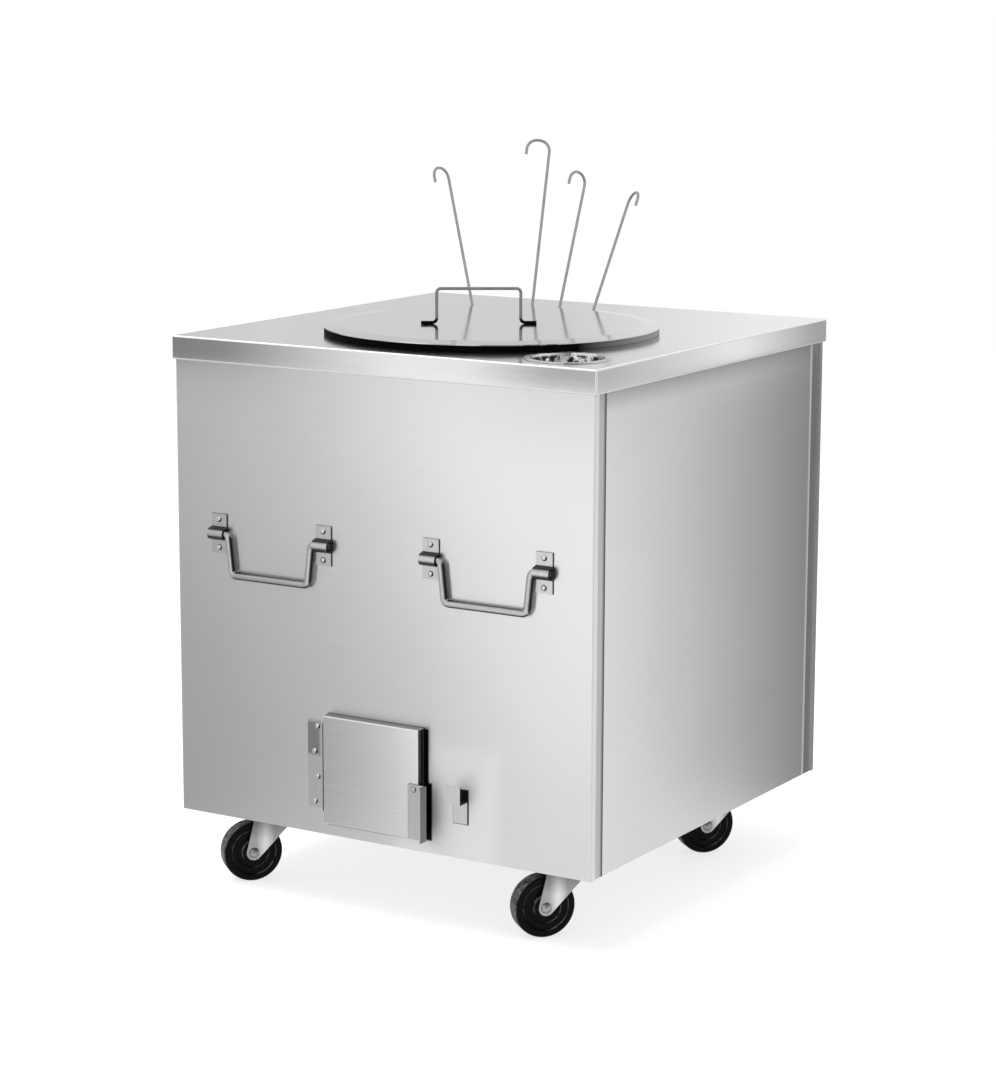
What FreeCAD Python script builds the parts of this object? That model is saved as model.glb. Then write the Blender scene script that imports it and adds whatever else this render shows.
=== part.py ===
import FreeCAD, Part
import os
import re
from math import cos, hypot, radians, sin, tan

import Sketcher

# A square stainless steel tandoor on casters: a clay pot in an insulated steel cabinet, with a loose lid,
# hooked skewers, a drop-in cup, two drop handles and an ash door with a swinging latch bar.
# Millimetres and degrees. The origin is on the floor under the middle of the cabinet, +Z is up and
# the front with the ash door faces -Y.

SIZES = {
    # cabinet
    "top_width": 800,
    "top_depth": 800,
    "total_height": 933,
    "cabinet_bottom": 132.5,
    "rim_height": 39,
    "rim_overhang": 4,
    "rim_round": 3,
    "hem_round": 1.5,
    "deck_sheet": 2,
    "panel_sheet": 2,
    "panel_bend": 3,
    "corner_return": 12,
    "post_leg": 35,
    "post_sheet": 3,
    "post_seam": 1,
    "side_flange": 15,
    "base_flange": 30,
    "base_sheet": 3,
    "rail_width": 100,
    "rail_thickness": 6,
    "rail_end_gap": 1,
    # pot and what stands round it
    "mouth_radius": 240,
    "ring_sheet": 2.5,
    "ring_flange": 32,
    "ring_drop": 44,
    "pot_ring_gap": 3.5,
    "pot_top_gap": 0.5,
    "pot_wall": 36,
    "belly_radius": 292,
    "belly_height": 560,
    "hearth_thickness": 28,
    "hearth_radius": 232,
    "ledge_width": 20,
    "grate_height": 335,
    "grate_thickness": 8,
    "grate_gap": 5,
    "grate_hub": 110,
    "grate_land": 24,
    "grate_slot": 14,
    "grate_slots": 16,
    "fill_gap": 0.5,
    "fill_headroom": 14,
    # draught tunnel and ash door
    "tunnel_width": 154,
    "tunnel_height": 150,
    "tunnel_sheet": 2,
    "tunnel_gap": 0.5,
    "tunnel_reach": 4,
    "door_width": 183.5,
    "door_height": 180,
    "door_middle_x": -3.2,
    "door_low_edge": 157,
    "door_proud": 18,
    "door_gap": 1,
    "door_sheet": 2,
    "door_round": 1.5,
    "liner_gap": 0.3,
    # hinge
    "leaf_height": 146,
    "leaf_rise": 3,
    "leaf_width": 32,
    "leaf_sheet": 2,
    "knuckle_radius": 4,
    "knuckle_count": 5,
    "knuckle_gap": 0.3,
    "knuckle_back": 0.5,
    "hinge_clear": 0.4,
    "hinge_pin_radius": 2,
    "pin_clearance": 0.05,
    "pin_overrun": 1.5,
    "door_leaf_depth": 8,
    "leaf_relief": 0.5,
    "hinge_rivet_pitch": 42.2,
    "hinge_rivet_stagger": 5.6,
    "hinge_rivet_inset": 18.4,
    # latch and keeper
    "latch_inset": 7.3,
    "latch_height": 239.8,
    "latch_head": 8,
    "latch_length": 90.5,
    "latch_heel": 10.8,
    "latch_nose": 23,
    "latch_sheet": 2.5,
    "latch_flange": 15.5,
    "latch_gap": 0.5,
    "latch_pivot_radius": 3,
    "keeper_middle": 157.5,
    "keeper_width": 26,
    "keeper_sheet": 2,
    "keeper_room": 1,
    "keeper_lip": 31,
    "keeper_foot": 35.5,
    "keeper_seat_gap": 0.5,
    # drop handles
    "handle_height": 612.6,
    "clip_edge_inset": 86.5,
    "clip_spacing": 207,
    "clip_width": 30,
    "clip_height": 65,
    "clip_sheet": 2.5,
    "clip_flare": 1.6,
    "clip_rivet_pitch": 47,
    "bail_radius": 6,
    "bail_clearance": 1.4,
    "bail_back_gap": 0.4,
    "bail_end": 2,
    "bail_leg_top": 82.5,
    "bail_leg_low": 75,
    "bail_drop": 67,
    "bail_bend": 9,
    # rivets
    "rivet_head_radius": 5,
    "rivet_head_height": 3,
    "rivet_radius": 2.4,
    "rivet_hole_gap": 0.1,
    "rivet_tail": 6,
    # lid
    "lid_radius": 278.5,
    "lid_flat": 250,
    "lid_slope": 3,
    "lid_sheet": 1.5,
    "lid_height": 14,
    "lid_seat_gap": 0.3,
    "lid_edge": 1,
    "band_sheet": 2,
    "band_hem": 4,
    "band_hem_height": 4,
    "skewer_gap": 31.3,
    "lid_angle": -80.8,
    "lid_handle_width": 138.5,
    "lid_handle_height": 56,
    "lid_handle_foot": 26,
    "lid_handle_wire": 2.6,
    "lid_handle_bend": 7,
    "lid_handle_angle": 33,
    "lid_handle_side": -8,
    "lid_handle_front": -28,
    # drop-in cup
    "cup_inset_x": 103.34,
    "cup_inset_y": 91.53,
    "cup_flange_radius": 68,
    "cup_bowl_radius": 58,
    "cup_base_radius": 50,
    "cup_depth": 55,
    "cup_sheet": 1.5,
    "cup_round": 14,
    "cup_clearance": 1.5,
    "cup_seat_gap": 0.3,
    # skewers
    "skewer_radius": 2.5,
    "skewer_point": 22,
    "skewer_rest_gap": 0.4,
    "hook_radius": 20,
    "hook_bend": 18,
    "hook_tail": 7,
    # casters
    "caster_inset_x": 108.5,
    "caster_inset_y": 119,
    "caster_trail": 45,
    "caster_angle": 50,
    "plate_length": 96,
    "plate_width": 84,
    "plate_thickness": 3,
    "bolt_spread_x": 72,
    "bolt_spread_y": 60,
    "bolt_radius": 4,
    "bolt_gap": 0.2,
    "bolt_head_radius": 7,
    "bolt_head_height": 5,
    "bolt_inset": 0.5,
    "race_radius": 27,
    "race_height": 8,
    "race_gap": 0.3,
    "king_pin_radius": 6,
    "king_nut_radius": 10,
    "king_nut_height": 6.5,
    "king_nut_gap": 0.8,
    "fork_sheet": 3,
    "fork_crown": 4,
    "fork_bend": 5,
    "fork_front": 29,
    "fork_back": 41,
    "fork_heel": 10,
    "axle_eye": 13,
    "eye_back_angle": 166,
    "eye_front_angle": -40.5,
    "wheel_radius": 51,
    "wheel_width": 30,
    "wheel_round": 4.5,
    "wheel_draft": 1,
    "web_depth": 4,
    "hub_radius": 19,
    "hub_recess": 7,
    "ring_width": 8,
    "ring_depth": 1.5,
    "ring_groove": 2,
    "hub_gap": 0.3,
    "wheel_side_room": 2.5,
    "axle_radius": 5,
    "axle_head_radius": 9,
    "axle_head_height": 6,
    "axle_seat_gap": 0.1,
}

# Each skewer's entry round the mouth and its distance from the rim there, its lean and the way it leans,
# its length and the way its hook turns.
SKEWERS = {
    "skewer_1": {"entry": 136.3, "inset": 10, "lean": 19.8, "toward": 154.8, "length": 866, "hook": 266},
    "skewer_2": {"entry": 110.6, "inset": 15, "lean": 13.8, "toward": 94.8, "length": 888, "hook": 217},
    "skewer_3": {"entry": 98.1, "inset": 15, "lean": 21.8, "toward": 89.6, "length": 865, "hook": 258},
    "skewer_4": {"entry": 81.0, "inset": 15, "lean": 26.3, "toward": 78.3, "length": 865, "hook": 318},
}
for skewer_name, facts in SKEWERS.items():
    for fact_name, fact in facts.items():
        SIZES[skewer_name + "_" + fact_name] = fact

# Places worked out from the driving sizes.
TOP = "total_height"
BOTTOM = "cabinet_bottom"
DECK_UNDER = "(total_height - deck_sheet)"
CABINET_X = "(top_width/2 - rim_overhang)"
CABINET_Y = "(top_depth/2 - rim_overhang)"
PANEL_TALL = f"({DECK_UNDER} - {BOTTOM})"
POST_X = f"({CABINET_X} - panel_sheet)"
POST_Y = f"({CABINET_Y} - panel_sheet)"
SIDE_Y = f"({POST_Y} - post_leg - post_seam)"
BASE_X = f"({POST_X} - post_sheet)"
BASE_Y = f"({POST_Y} - post_sheet)"
BASE_FLOOR = f"({BOTTOM} + base_sheet)"
RAIL_TOP = f"({BASE_FLOOR} + rail_thickness)"
HEARTH_TOP = f"({RAIL_TOP} + hearth_thickness)"
POT_MOUTH = "(mouth_radius + ring_sheet + pot_ring_gap)"
POT_TOP = f"({DECK_UNDER} - ring_sheet - pot_top_gap)"
LEDGE_RADIUS = "(hearth_radius + ledge_width)"
POT_FOOT = "(hearth_radius + pot_wall)"
GRATE_TOP = "(grate_height + grate_thickness)"
DOOR_MIDDLE = "(door_low_edge + door_height/2)"
DOOR_FACE = f"({CABINET_Y} + door_proud)"
DOOR_BACK = f"({CABINET_Y} + door_gap)"
TUNNEL_LOW = f"({DOOR_MIDDLE} - tunnel_height/2)"
TUNNEL_HIGH = f"({DOOR_MIDDLE} + tunnel_height/2)"
TUNNEL_END = "(hearth_radius + tunnel_reach)"
DOOR_LEFT = "(door_middle_x - door_width/2)"
DOOR_RIGHT = "(door_middle_x + door_width/2)"
HINGE_X = f"({DOOR_LEFT} - knuckle_radius - hinge_clear)"
HINGE_Y = f"({CABINET_Y} + knuckle_back + knuckle_radius)"
LEAF_MIDDLE = f"({DOOR_MIDDLE} + leaf_rise)"
LEAF_LOW = f"({LEAF_MIDDLE} - leaf_height/2)"
KNUCKLE_PITCH = "(leaf_height/knuckle_count)"
LATCH_X = f"({DOOR_RIGHT} - latch_inset)"
LATCH_BACK = f"({DOOR_FACE} + latch_gap)"
LATCH_FRONT = f"({LATCH_BACK} + latch_sheet)"
KEEPER_SEAT = "(latch_height - latch_heel - keeper_seat_gap)"
KEEPER_INSIDE = f"({LATCH_FRONT} + keeper_room)"
HANDLE_X = f"({CABINET_X} - clip_edge_inset - clip_spacing/2)"
BAIL_AXIS = "(bail_radius + bail_back_gap)"
CLIP_INNER = "(bail_radius + bail_clearance)"
CLIP_OUTER = f"({CLIP_INNER} + clip_sheet)"
RIVET_HOLE = "(rivet_radius + rivet_hole_gap)"
LID_SHIFT = "(lid_radius + skewer_gap - mouth_radius)"
LID_X = f"({LID_SHIFT}*cos(lid_angle))"
LID_Y = f"({LID_SHIFT}*sin(lid_angle))"
LID_LOW = "(total_height + lid_seat_gap)"
LID_TOP = f"({LID_LOW} + lid_height)"
CUP_X = "(top_width/2 - cup_inset_x)"
CUP_Y = "(cup_inset_y - top_depth/2)"
CUP_HOLE = "(cup_bowl_radius + cup_sheet + cup_clearance)"
CUP_LIP = "(total_height + cup_seat_gap)"
CASTER_X = f"({CABINET_X} - caster_inset_x)"
CASTER_Y = f"({CABINET_Y} - caster_inset_y)"
PLATE_LOW = f"({BOTTOM} - plate_thickness)"
RACE_LOW = f"({PLATE_LOW} - race_height)"
CROWN_TOP = f"({RACE_LOW} - race_gap)"
CROWN_LOW = f"({CROWN_TOP} - fork_crown)"
KING_NUT_TOP = f"({CROWN_LOW} - king_nut_gap)"
FORK_INSIDE = "(wheel_width/2 + wheel_side_room)"
FORK_OUTSIDE = f"({FORK_INSIDE} + fork_sheet)"
HUB_HALF = f"({FORK_INSIDE} - hub_gap)"

doc = FreeCAD.newDocument("tandoor")
sheet = doc.addObject("Spreadsheet::Sheet", "Sheet")
for row, (size_name, size) in enumerate(SIZES.items(), start=1):
    sheet.set(f"A{row}", size_name)
    sheet.set(f"B{row}", str(size))
    sheet.setAlias(f"B{row}", size_name)
doc.recompute()

nodes = []


# Sizes and expressions

def full(text):
    """The expression with each size written as its cell in the sheet."""
    return re.sub(r"[a-z][a-z_0-9]*", lambda word: "Sheet." + word[0] if word[0] in SIZES else word[0], text)


def value(text):
    return float(sheet.evalExpression(full(text)))


def bind(thing, prop, text):
    thing.setExpression(prop, full(text))


def place(thing, x="0", y="0", z="0", turn=None):
    """Put a body or primitive at a place, turned about the vertical."""
    thing.Placement = FreeCAD.Placement(FreeCAD.Vector(), FreeCAD.Rotation(FreeCAD.Vector(0, 0, 1), 0))
    bind(thing, "Placement.Base.x", x)
    bind(thing, "Placement.Base.y", y)
    bind(thing, "Placement.Base.z", z)
    if turn is not None:
        bind(thing, "Placement.Rotation.Angle", turn)


# Sketches

def new_body(label):
    body = doc.addObject("PartDesign::Body", label)
    body.Label = label
    nodes.append(body)
    return body


def new_sketch(body, role, offset=None):
    """A sketch on one of the body's own origin planes, moved along the plane's normal."""
    sketch = body.newObject("Sketcher::SketchObject", body.Label + "_sketch")
    support = next(feature for feature in body.Origin.OriginFeatures if feature.Role == role)
    sketch.AttachmentSupport = [(support, "")]
    sketch.MapMode = "FlatFace"
    if offset is not None:
        bind(sketch, "AttachmentOffset.Base.z", offset)
    return sketch


def pin_point(sketch, geometry, end, x, y):
    """Tie a point of the sketch to its two coordinates."""
    for direction, text, axis in (("X", x, -2), ("Y", y, -1)):
        amount = value(text)
        if abs(amount) < 1e-9:
            sketch.addConstraint(Sketcher.Constraint("PointOnObject", geometry, end, axis))
            continue
        kind = "Distance" + direction
        index = sketch.addConstraint(Sketcher.Constraint(kind, -1, 1, geometry, end, amount))
        name = f"{direction.lower()}_{geometry}_{end}"
        sketch.renameConstraint(index, name)
        bind(sketch, "Constraints." + name, text)


def point(x, y):
    return FreeCAD.Vector(value(x), value(y), 0)


def outline(sketch, corners):
    """A closed outline. A corner with a third entry starts an arc that passes through that point."""
    first = sketch.GeometryCount
    total = len(corners)
    ends = []
    arcs = []
    for index, corner in enumerate(corners):
        start = point(*corner[:2])
        stop = point(*corners[(index + 1) % total][:2])
        if len(corner) == 3:
            geometry = sketch.addGeometry(Part.Arc(start, point(*corner[2]), stop))
            forward = sketch.getPoint(geometry, 1).distanceToPoint(start) < 1e-6
            ends.append((1, 2) if forward else (2, 1))
            arcs.append((geometry, corner[2]))
        else:
            sketch.addGeometry(Part.LineSegment(start, stop))
            ends.append((1, 2))
    for index in range(total):
        after = (index + 1) % total
        joint = Sketcher.Constraint("Coincident", first + index, ends[index][1], first + after, ends[after][0])
        sketch.addConstraint(joint)
    for index, corner in enumerate(corners):
        pin_point(sketch, first + index, ends[index][0], corner[0], corner[1])
    for geometry, through in arcs:
        marker = sketch.addGeometry(Part.Point(point(*through)), True)
        pin_point(sketch, marker, 1, *through)
        sketch.addConstraint(Sketcher.Constraint("PointOnObject", marker, 1, geometry))


def rectangle(sketch, left, right, low, high):
    outline(sketch, [(left, low), (right, low), (right, high), (left, high)])


def circle(sketch, x, y, radius):
    geometry = sketch.addGeometry(Part.Circle(point(x, y), FreeCAD.Vector(0, 0, 1), value(radius)))
    pin_point(sketch, geometry, 3, x, y)
    index = sketch.addConstraint(Sketcher.Constraint("Radius", geometry, value(radius)))
    name = f"r_{geometry}"
    sketch.renameConstraint(index, name)
    bind(sketch, "Constraints." + name, radius)


def bent_path(sketch, corners, bend):
    """An open path of straight runs joined by tangent arcs of one radius."""
    spots = [point(*corner) for corner in corners]
    size = value(bend)
    starts = [spots[0]]
    stops = []
    middles = []
    for before, here, after in zip(spots, spots[1:], spots[2:]):
        back = (before - here).normalize()
        ahead = (after - here).normalize()
        half = back.getAngle(ahead) / 2
        stops.append(here + back * (size / tan(half)))
        starts.append(here + ahead * (size / tan(half)))
        inward = (back + ahead).normalize()
        middles.append(here + inward * (size / sin(half) - size))
    stops.append(spots[-1])
    runs = [sketch.addGeometry(Part.LineSegment(*run)) for run in zip(starts, stops)]
    for index, middle in enumerate(middles):
        corner = corners[index + 1]
        arc = sketch.addGeometry(Part.Arc(stops[index], middle, starts[index + 1]))
        forward = sketch.getPoint(arc, 1).distanceToPoint(stops[index]) < 1e-6
        near, far = (1, 2) if forward else (2, 1)
        sketch.addConstraint(Sketcher.Constraint("Tangent", runs[index], 2, arc, near))
        sketch.addConstraint(Sketcher.Constraint("Tangent", arc, far, runs[index + 1], 1))
        radius = sketch.addConstraint(Sketcher.Constraint("Radius", arc, size))
        sketch.renameConstraint(radius, f"bend_{index}")
        bind(sketch, f"Constraints.bend_{index}", bend)
        marker = sketch.addGeometry(Part.Point(spots[index + 1]), True)
        pin_point(sketch, marker, 1, *corner)
        sketch.addConstraint(Sketcher.Constraint("PointOnObject", marker, 1, runs[index]))
        sketch.addConstraint(Sketcher.Constraint("PointOnObject", marker, 1, runs[index + 1]))
    pin_point(sketch, runs[0], 1, *corners[0])
    pin_point(sketch, runs[-1], 2, *corners[-1])


# Features

def pad(body, sketch, length, reverse=False):
    feature = body.newObject("PartDesign::Pad", body.Label + "_pad")
    feature.Profile = sketch
    feature.Reversed = reverse
    bind(feature, "Length", length)
    return feature


def pocket(body, sketch, length, reverse=False):
    """Cut against the sketch's normal, or along it when reversed."""
    feature = body.newObject("PartDesign::Pocket", body.Label + "_pocket")
    feature.Profile = sketch
    feature.Reversed = reverse
    bind(feature, "Length", length)
    return feature


def revolve(body, sketch, kind="Revolution"):
    """Turn the profile, or cut it, round the sketch's vertical axis."""
    feature = body.newObject("PartDesign::" + kind, body.Label + "_turned")
    feature.Profile = sketch
    feature.ReferenceAxis = (sketch, ["V_Axis"])
    feature.Angle = 360
    return feature


def pattern(body, kind, axis, originals, count, spread, spread_name):
    """Repeat features along or round one of the body's origin axes."""
    feature = body.newObject("PartDesign::" + kind, body.Label + "_pattern")
    feature.Originals = originals
    origin_axis = next(item for item in body.Origin.OriginFeatures if item.Role == axis)
    slot = "Direction" if kind == "LinearPattern" else "Axis"
    setattr(feature, slot, (origin_axis, [""]))
    bind(feature, "Occurrences", count)
    bind(feature, spread_name, spread)
    body.Tip = feature
    return feature


def soften(body, base, radius, chosen):
    """Round the edges of the last feature that the test picks."""
    doc.recompute()
    names = [f"Edge{index}" for index, edge in enumerate(base.Shape.Edges, start=1) if chosen(edge)]
    feature = body.newObject("PartDesign::Fillet", body.Label + "_fillet")
    feature.Base = (base, names)
    bind(feature, "Radius", radius)
    return feature


def bent_rod(body, corners, bend, radius, upright=False):
    """A round rod bent along a path in the body's XZ plane, which starts along X or, upright, along Z."""
    path = new_sketch(body, "XZ_Plane")
    bent_path(path, corners, bend)
    start_x, start_z = corners[0]
    if upright:
        section = new_sketch(body, "XY_Plane", start_z)
        circle(section, start_x, "0", radius)
    else:
        section = new_sketch(body, "YZ_Plane", start_x)
        circle(section, "0", start_z, radius)
    doc.recompute()
    feature = body.newObject("PartDesign::AdditivePipe", body.Label + "_pipe")
    feature.Profile = section
    feature.Spine = (path, [f"Edge{index}" for index in range(1, len(path.Shape.Edges) + 1)])
    return feature


def is_upright(edge):
    ends = [vertex.Point for vertex in edge.Vertexes]
    return len(ends) == 2 and hypot(ends[0].x - ends[1].x, ends[0].y - ends[1].y) < 1e-6


def lies_at(edge, height):
    return all(abs(vertex.Z - height) < 1e-6 for vertex in edge.Vertexes)


# Cabinet

def make_top_pan():
    body = new_body("top_pan")
    low = f"({TOP} - rim_height)"
    sketch = new_sketch(body, "XY_Plane", low)
    rectangle(sketch, "-top_width/2", "top_width/2", "-top_depth/2", "top_depth/2")
    block = pad(body, sketch, "rim_height")
    top = value(TOP)
    folded = soften(body, block, "rim_round", lambda edge: is_upright(edge) or lies_at(edge, top))
    hem = value(low)
    soften(body, folded, "hem_round", lambda edge: lies_at(edge, hem))
    sketch = new_sketch(body, "XY_Plane", low)
    inner_x = "(top_width/2 - deck_sheet)"
    inner_y = "(top_depth/2 - deck_sheet)"
    rectangle(sketch, "-" + inner_x, inner_x, "-" + inner_y, inner_y)
    pocket(body, sketch, "rim_height - deck_sheet", reverse=True)
    sketch = new_sketch(body, "XY_Plane", TOP)
    circle(sketch, "0", "0", "mouth_radius")
    circle(sketch, CUP_X, CUP_Y, CUP_HOLE)
    pocket(body, sketch, "rim_height")


def make_end_panel(label, front):
    """A sheet across the front or back whose edges are folded round the corners."""
    body = new_body(label)
    sketch = new_sketch(body, "XY_Plane", BOTTOM)
    fold = f"(-{CABINET_Y} + corner_return)"
    inside = f"(-{CABINET_Y} + panel_sheet)"
    outer_x = CABINET_X
    inner_x = f"({CABINET_X} - panel_sheet)"
    outline(sketch, [
        ("-" + outer_x, "-" + CABINET_Y),
        (outer_x, "-" + CABINET_Y),
        (outer_x, fold),
        (inner_x, fold),
        (inner_x, inside),
        ("-" + inner_x, inside),
        ("-" + inner_x, fold),
        ("-" + outer_x, fold),
    ])
    sheet_metal = pad(body, sketch, PANEL_TALL)
    face = -value(CABINET_Y)
    side = value(CABINET_X)

    def is_bend(edge):
        spot = edge.Vertexes[0].Point
        return is_upright(edge) and abs(spot.y - face) < 1e-6 and abs(abs(spot.x) - side) < 1e-6

    soften(body, sheet_metal, "panel_bend", is_bend)
    if not front:
        place(body, turn="180")
        return
    sketch = new_sketch(body, "XZ_Plane", CABINET_Y)
    gap = "(tunnel_width/2 + tunnel_gap)"
    rectangle(sketch, "-" + gap, gap, f"({TUNNEL_LOW} - tunnel_gap)", f"({TUNNEL_HIGH} + tunnel_gap)")
    for x, z in clip_rivet_spots() + hinge_rivet_spots():
        circle(sketch, x, z, RIVET_HOLE)
    pocket(body, sketch, "panel_sheet")


def make_side_panel(label, turn):
    """A sheet set back between the corner posts, its upright edges folded inwards above the base pan."""
    body = new_body(label)
    inside = f"({POST_X} - panel_sheet)"
    sketch = new_sketch(body, "XY_Plane", BOTTOM)
    rectangle(sketch, inside, POST_X, "-" + SIDE_Y, SIDE_Y)
    pad(body, sketch, PANEL_TALL)
    fold = f"({POST_X} - side_flange)"
    wall = f"({SIDE_Y} - panel_sheet)"
    notch = "(base_flange + post_seam)"
    sketch = new_sketch(body, "XY_Plane", f"({BOTTOM} + {notch})")
    rectangle(sketch, fold, inside, wall, SIDE_Y)
    rectangle(sketch, fold, inside, "-" + SIDE_Y, "-" + wall)
    pad(body, sketch, f"{PANEL_TALL} - {notch}")
    place(body, turn=turn)


def make_corner_post(label, side, end):
    """An angle post behind each folded corner, with one leg showing on the side."""
    body = new_body(label)
    sketch = new_sketch(body, "XY_Plane", BOTTOM)
    corners = [
        (POST_X, POST_Y),
        (POST_X, f"({POST_Y} - post_leg)"),
        (f"({POST_X} - post_sheet)", f"({POST_Y} - post_leg)"),
        (f"({POST_X} - post_sheet)", f"({POST_Y} - post_sheet)"),
        (f"({POST_X} - post_leg)", f"({POST_Y} - post_sheet)"),
        (f"({POST_X} - post_leg)", POST_Y),
    ]
    outline(sketch, [(side + x, end + y) for x, y in corners])
    pad(body, sketch, PANEL_TALL)


def caster_bolt_spots():
    """The bolt places of all four casters."""
    spots = []
    for side in ("", "-"):
        for end in ("", "-"):
            for step_x in ("+", "-"):
                for step_y in ("+", "-"):
                    x = f"({side}{CASTER_X} {step_x} bolt_spread_x/2)"
                    y = f"({end}{CASTER_Y} {step_y} bolt_spread_y/2)"
                    spots.append((x, y))
    return spots


def make_base_pan():
    """A tray with upturned edges that closes the cabinet below."""
    body = new_body("base_pan")
    sketch = new_sketch(body, "XY_Plane", BOTTOM)
    rectangle(sketch, "-" + BASE_X, BASE_X, "-" + BASE_Y, BASE_Y)
    pad(body, sketch, "base_flange")
    inner_x = f"({BASE_X} - base_sheet)"
    inner_y = f"({BASE_Y} - base_sheet)"
    sketch = new_sketch(body, "XY_Plane", f"({BOTTOM} + base_flange)")
    rectangle(sketch, "-" + inner_x, inner_x, "-" + inner_y, inner_y)
    pocket(body, sketch, "base_flange - base_sheet")
    sketch = new_sketch(body, "XY_Plane", BASE_FLOOR)
    for x, y in caster_bolt_spots():
        circle(sketch, x, y, "bolt_radius + bolt_gap")
    pocket(body, sketch, "base_sheet")


def make_base_rail(label, side):
    """A flat bar inside the tray, tapped for the bolts of the two casters under it."""
    body = new_body(label)
    sketch = new_sketch(body, "XY_Plane", BASE_FLOOR)
    reach = f"({BASE_Y} - base_sheet - rail_end_gap)"
    left = f"({side}{CASTER_X} - rail_width/2)"
    right = f"({side}{CASTER_X} + rail_width/2)"
    rectangle(sketch, left, right, "-" + reach, reach)
    pad(body, sketch, "rail_thickness")
    sketch = new_sketch(body, "XY_Plane", RAIL_TOP)
    for x, y in caster_bolt_spots():
        if x.startswith("(-") == (side == "-"):
            circle(sketch, x, y, "bolt_radius + bolt_gap")
    pocket(body, sketch, "rail_thickness")


# Pot and fire

def make_hearth_slab():
    slab = doc.addObject("Part::Cylinder", "hearth_slab")
    slab.Label = "hearth_slab"
    bind(slab, "Radius", POT_FOOT)
    bind(slab, "Height", "hearth_thickness")
    place(slab, z=RAIL_TOP)
    nodes.append(slab)


def tunnel_cut(body, low, depth):
    """Clear the way for the draught tunnel from the middle of the body to its front."""
    sketch = new_sketch(body, "XZ_Plane")
    gap = "(tunnel_width/2 + tunnel_gap)"
    rectangle(sketch, "-" + gap, gap, low, f"({TUNNEL_HIGH} + tunnel_gap)")
    pocket(body, sketch, depth, reverse=True)


def make_clay_pot():
    """A bellied pot with a ledge for the grate and an arch for the draught tunnel at its foot."""
    body = new_body("clay_pot")
    sketch = new_sketch(body, "XZ_Plane")
    outline(sketch, [
        ("hearth_radius", HEARTH_TOP),
        (POT_FOOT, HEARTH_TOP, ("belly_radius + pot_wall", "belly_height")),
        (f"({POT_MOUTH} + pot_wall)", POT_TOP),
        (POT_MOUTH, POT_TOP, ("belly_radius", "belly_height")),
        (LEDGE_RADIUS, "grate_height"),
        ("hearth_radius", "grate_height"),
    ])
    revolve(body, sketch)
    tunnel_cut(body, f"({HEARTH_TOP} - pot_wall)", "belly_radius + 2*pot_wall")


def make_fire_grate():
    """A cast disc with radial slots round a plain middle, on the pot's ledge."""
    body = new_body("fire_grate")
    sketch = new_sketch(body, "XY_Plane", "grate_height")
    circle(sketch, "0", "0", f"{LEDGE_RADIUS} - grate_gap")
    pad(body, sketch, "grate_thickness")
    sketch = new_sketch(body, "XY_Plane", GRATE_TOP)
    inner = "(grate_hub + grate_slot/2)"
    outer = f"({LEDGE_RADIUS} - grate_gap - grate_land - grate_slot/2)"
    half = "grate_slot/2"
    outline(sketch, [
        (inner, "-" + half),
        (outer, "-" + half, (f"({outer} + {half})", "0")),
        (outer, half),
        (inner, half, (f"({inner} - {half})", "0")),
    ])
    slot = pocket(body, sketch, "grate_thickness")
    pattern(body, "PolarPattern", "Z_Axis", [slot], "grate_slots", "360", "Angle")


def make_mouth_ring():
    """A flanged steel collar hung under the deck that lines the mouth."""
    body = new_body("mouth_ring")
    sketch = new_sketch(body, "XZ_Plane")
    wall = "(mouth_radius + ring_sheet)"
    under = f"({DECK_UNDER} - ring_sheet)"
    outline(sketch, [
        ("mouth_radius", f"({DECK_UNDER} - ring_drop)"),
        (wall, f"({DECK_UNDER} - ring_drop)"),
        (wall, under),
        ("(mouth_radius + ring_flange)", under),
        ("(mouth_radius + ring_flange)", DECK_UNDER),
        ("mouth_radius", DECK_UNDER),
    ])
    revolve(body, sketch)


def make_draft_tunnel():
    """A square duct from the ash door's opening to the pot's arch."""
    body = new_body("draft_tunnel")
    sketch = new_sketch(body, "XZ_Plane", CABINET_Y)
    rectangle(sketch, "-tunnel_width/2", "tunnel_width/2", TUNNEL_LOW, TUNNEL_HIGH)
    inner = "(tunnel_width/2 - tunnel_sheet)"
    rectangle(sketch, "-" + inner, inner, f"({TUNNEL_LOW} + tunnel_sheet)", f"({TUNNEL_HIGH} - tunnel_sheet)")
    pad(body, sketch, f"{CABINET_Y} - {TUNNEL_END}", reverse=True)


def make_insulation_fill():
    """Loose fill round the pot, kept clear of the sheet metal, the tunnel and the cup."""
    body = new_body("insulation_fill")
    sketch = new_sketch(body, "XY_Plane", RAIL_TOP)
    half_x = f"({POST_X} - side_flange - post_seam)"
    half_y = f"({BASE_Y} - base_sheet - side_flange)"
    top = f"({DECK_UNDER} - fill_headroom)"
    rectangle(sketch, "-" + half_x, half_x, "-" + half_y, half_y)
    pad(body, sketch, f"{top} - {RAIL_TOP}")
    sketch = new_sketch(body, "XZ_Plane")
    foot = f"({POT_FOOT} + fill_gap)"
    outline(sketch, [
        ("0", f"({RAIL_TOP} - fill_gap)"),
        (foot, f"({RAIL_TOP} - fill_gap)"),
        (foot, HEARTH_TOP, ("(belly_radius + pot_wall + fill_gap)", "belly_height")),
        (f"({POT_MOUTH} + pot_wall + fill_gap)", POT_TOP),
        ("0", POT_TOP),
    ])
    revolve(body, sketch, "Groove")
    tunnel_cut(body, f"({TUNNEL_LOW} - tunnel_gap)", "top_depth/2")
    sketch = new_sketch(body, "XY_Plane", top)
    circle(sketch, CUP_X, CUP_Y, CUP_HOLE)
    pocket(body, sketch, "cup_depth")


# Ash door, hinge and latch

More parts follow.
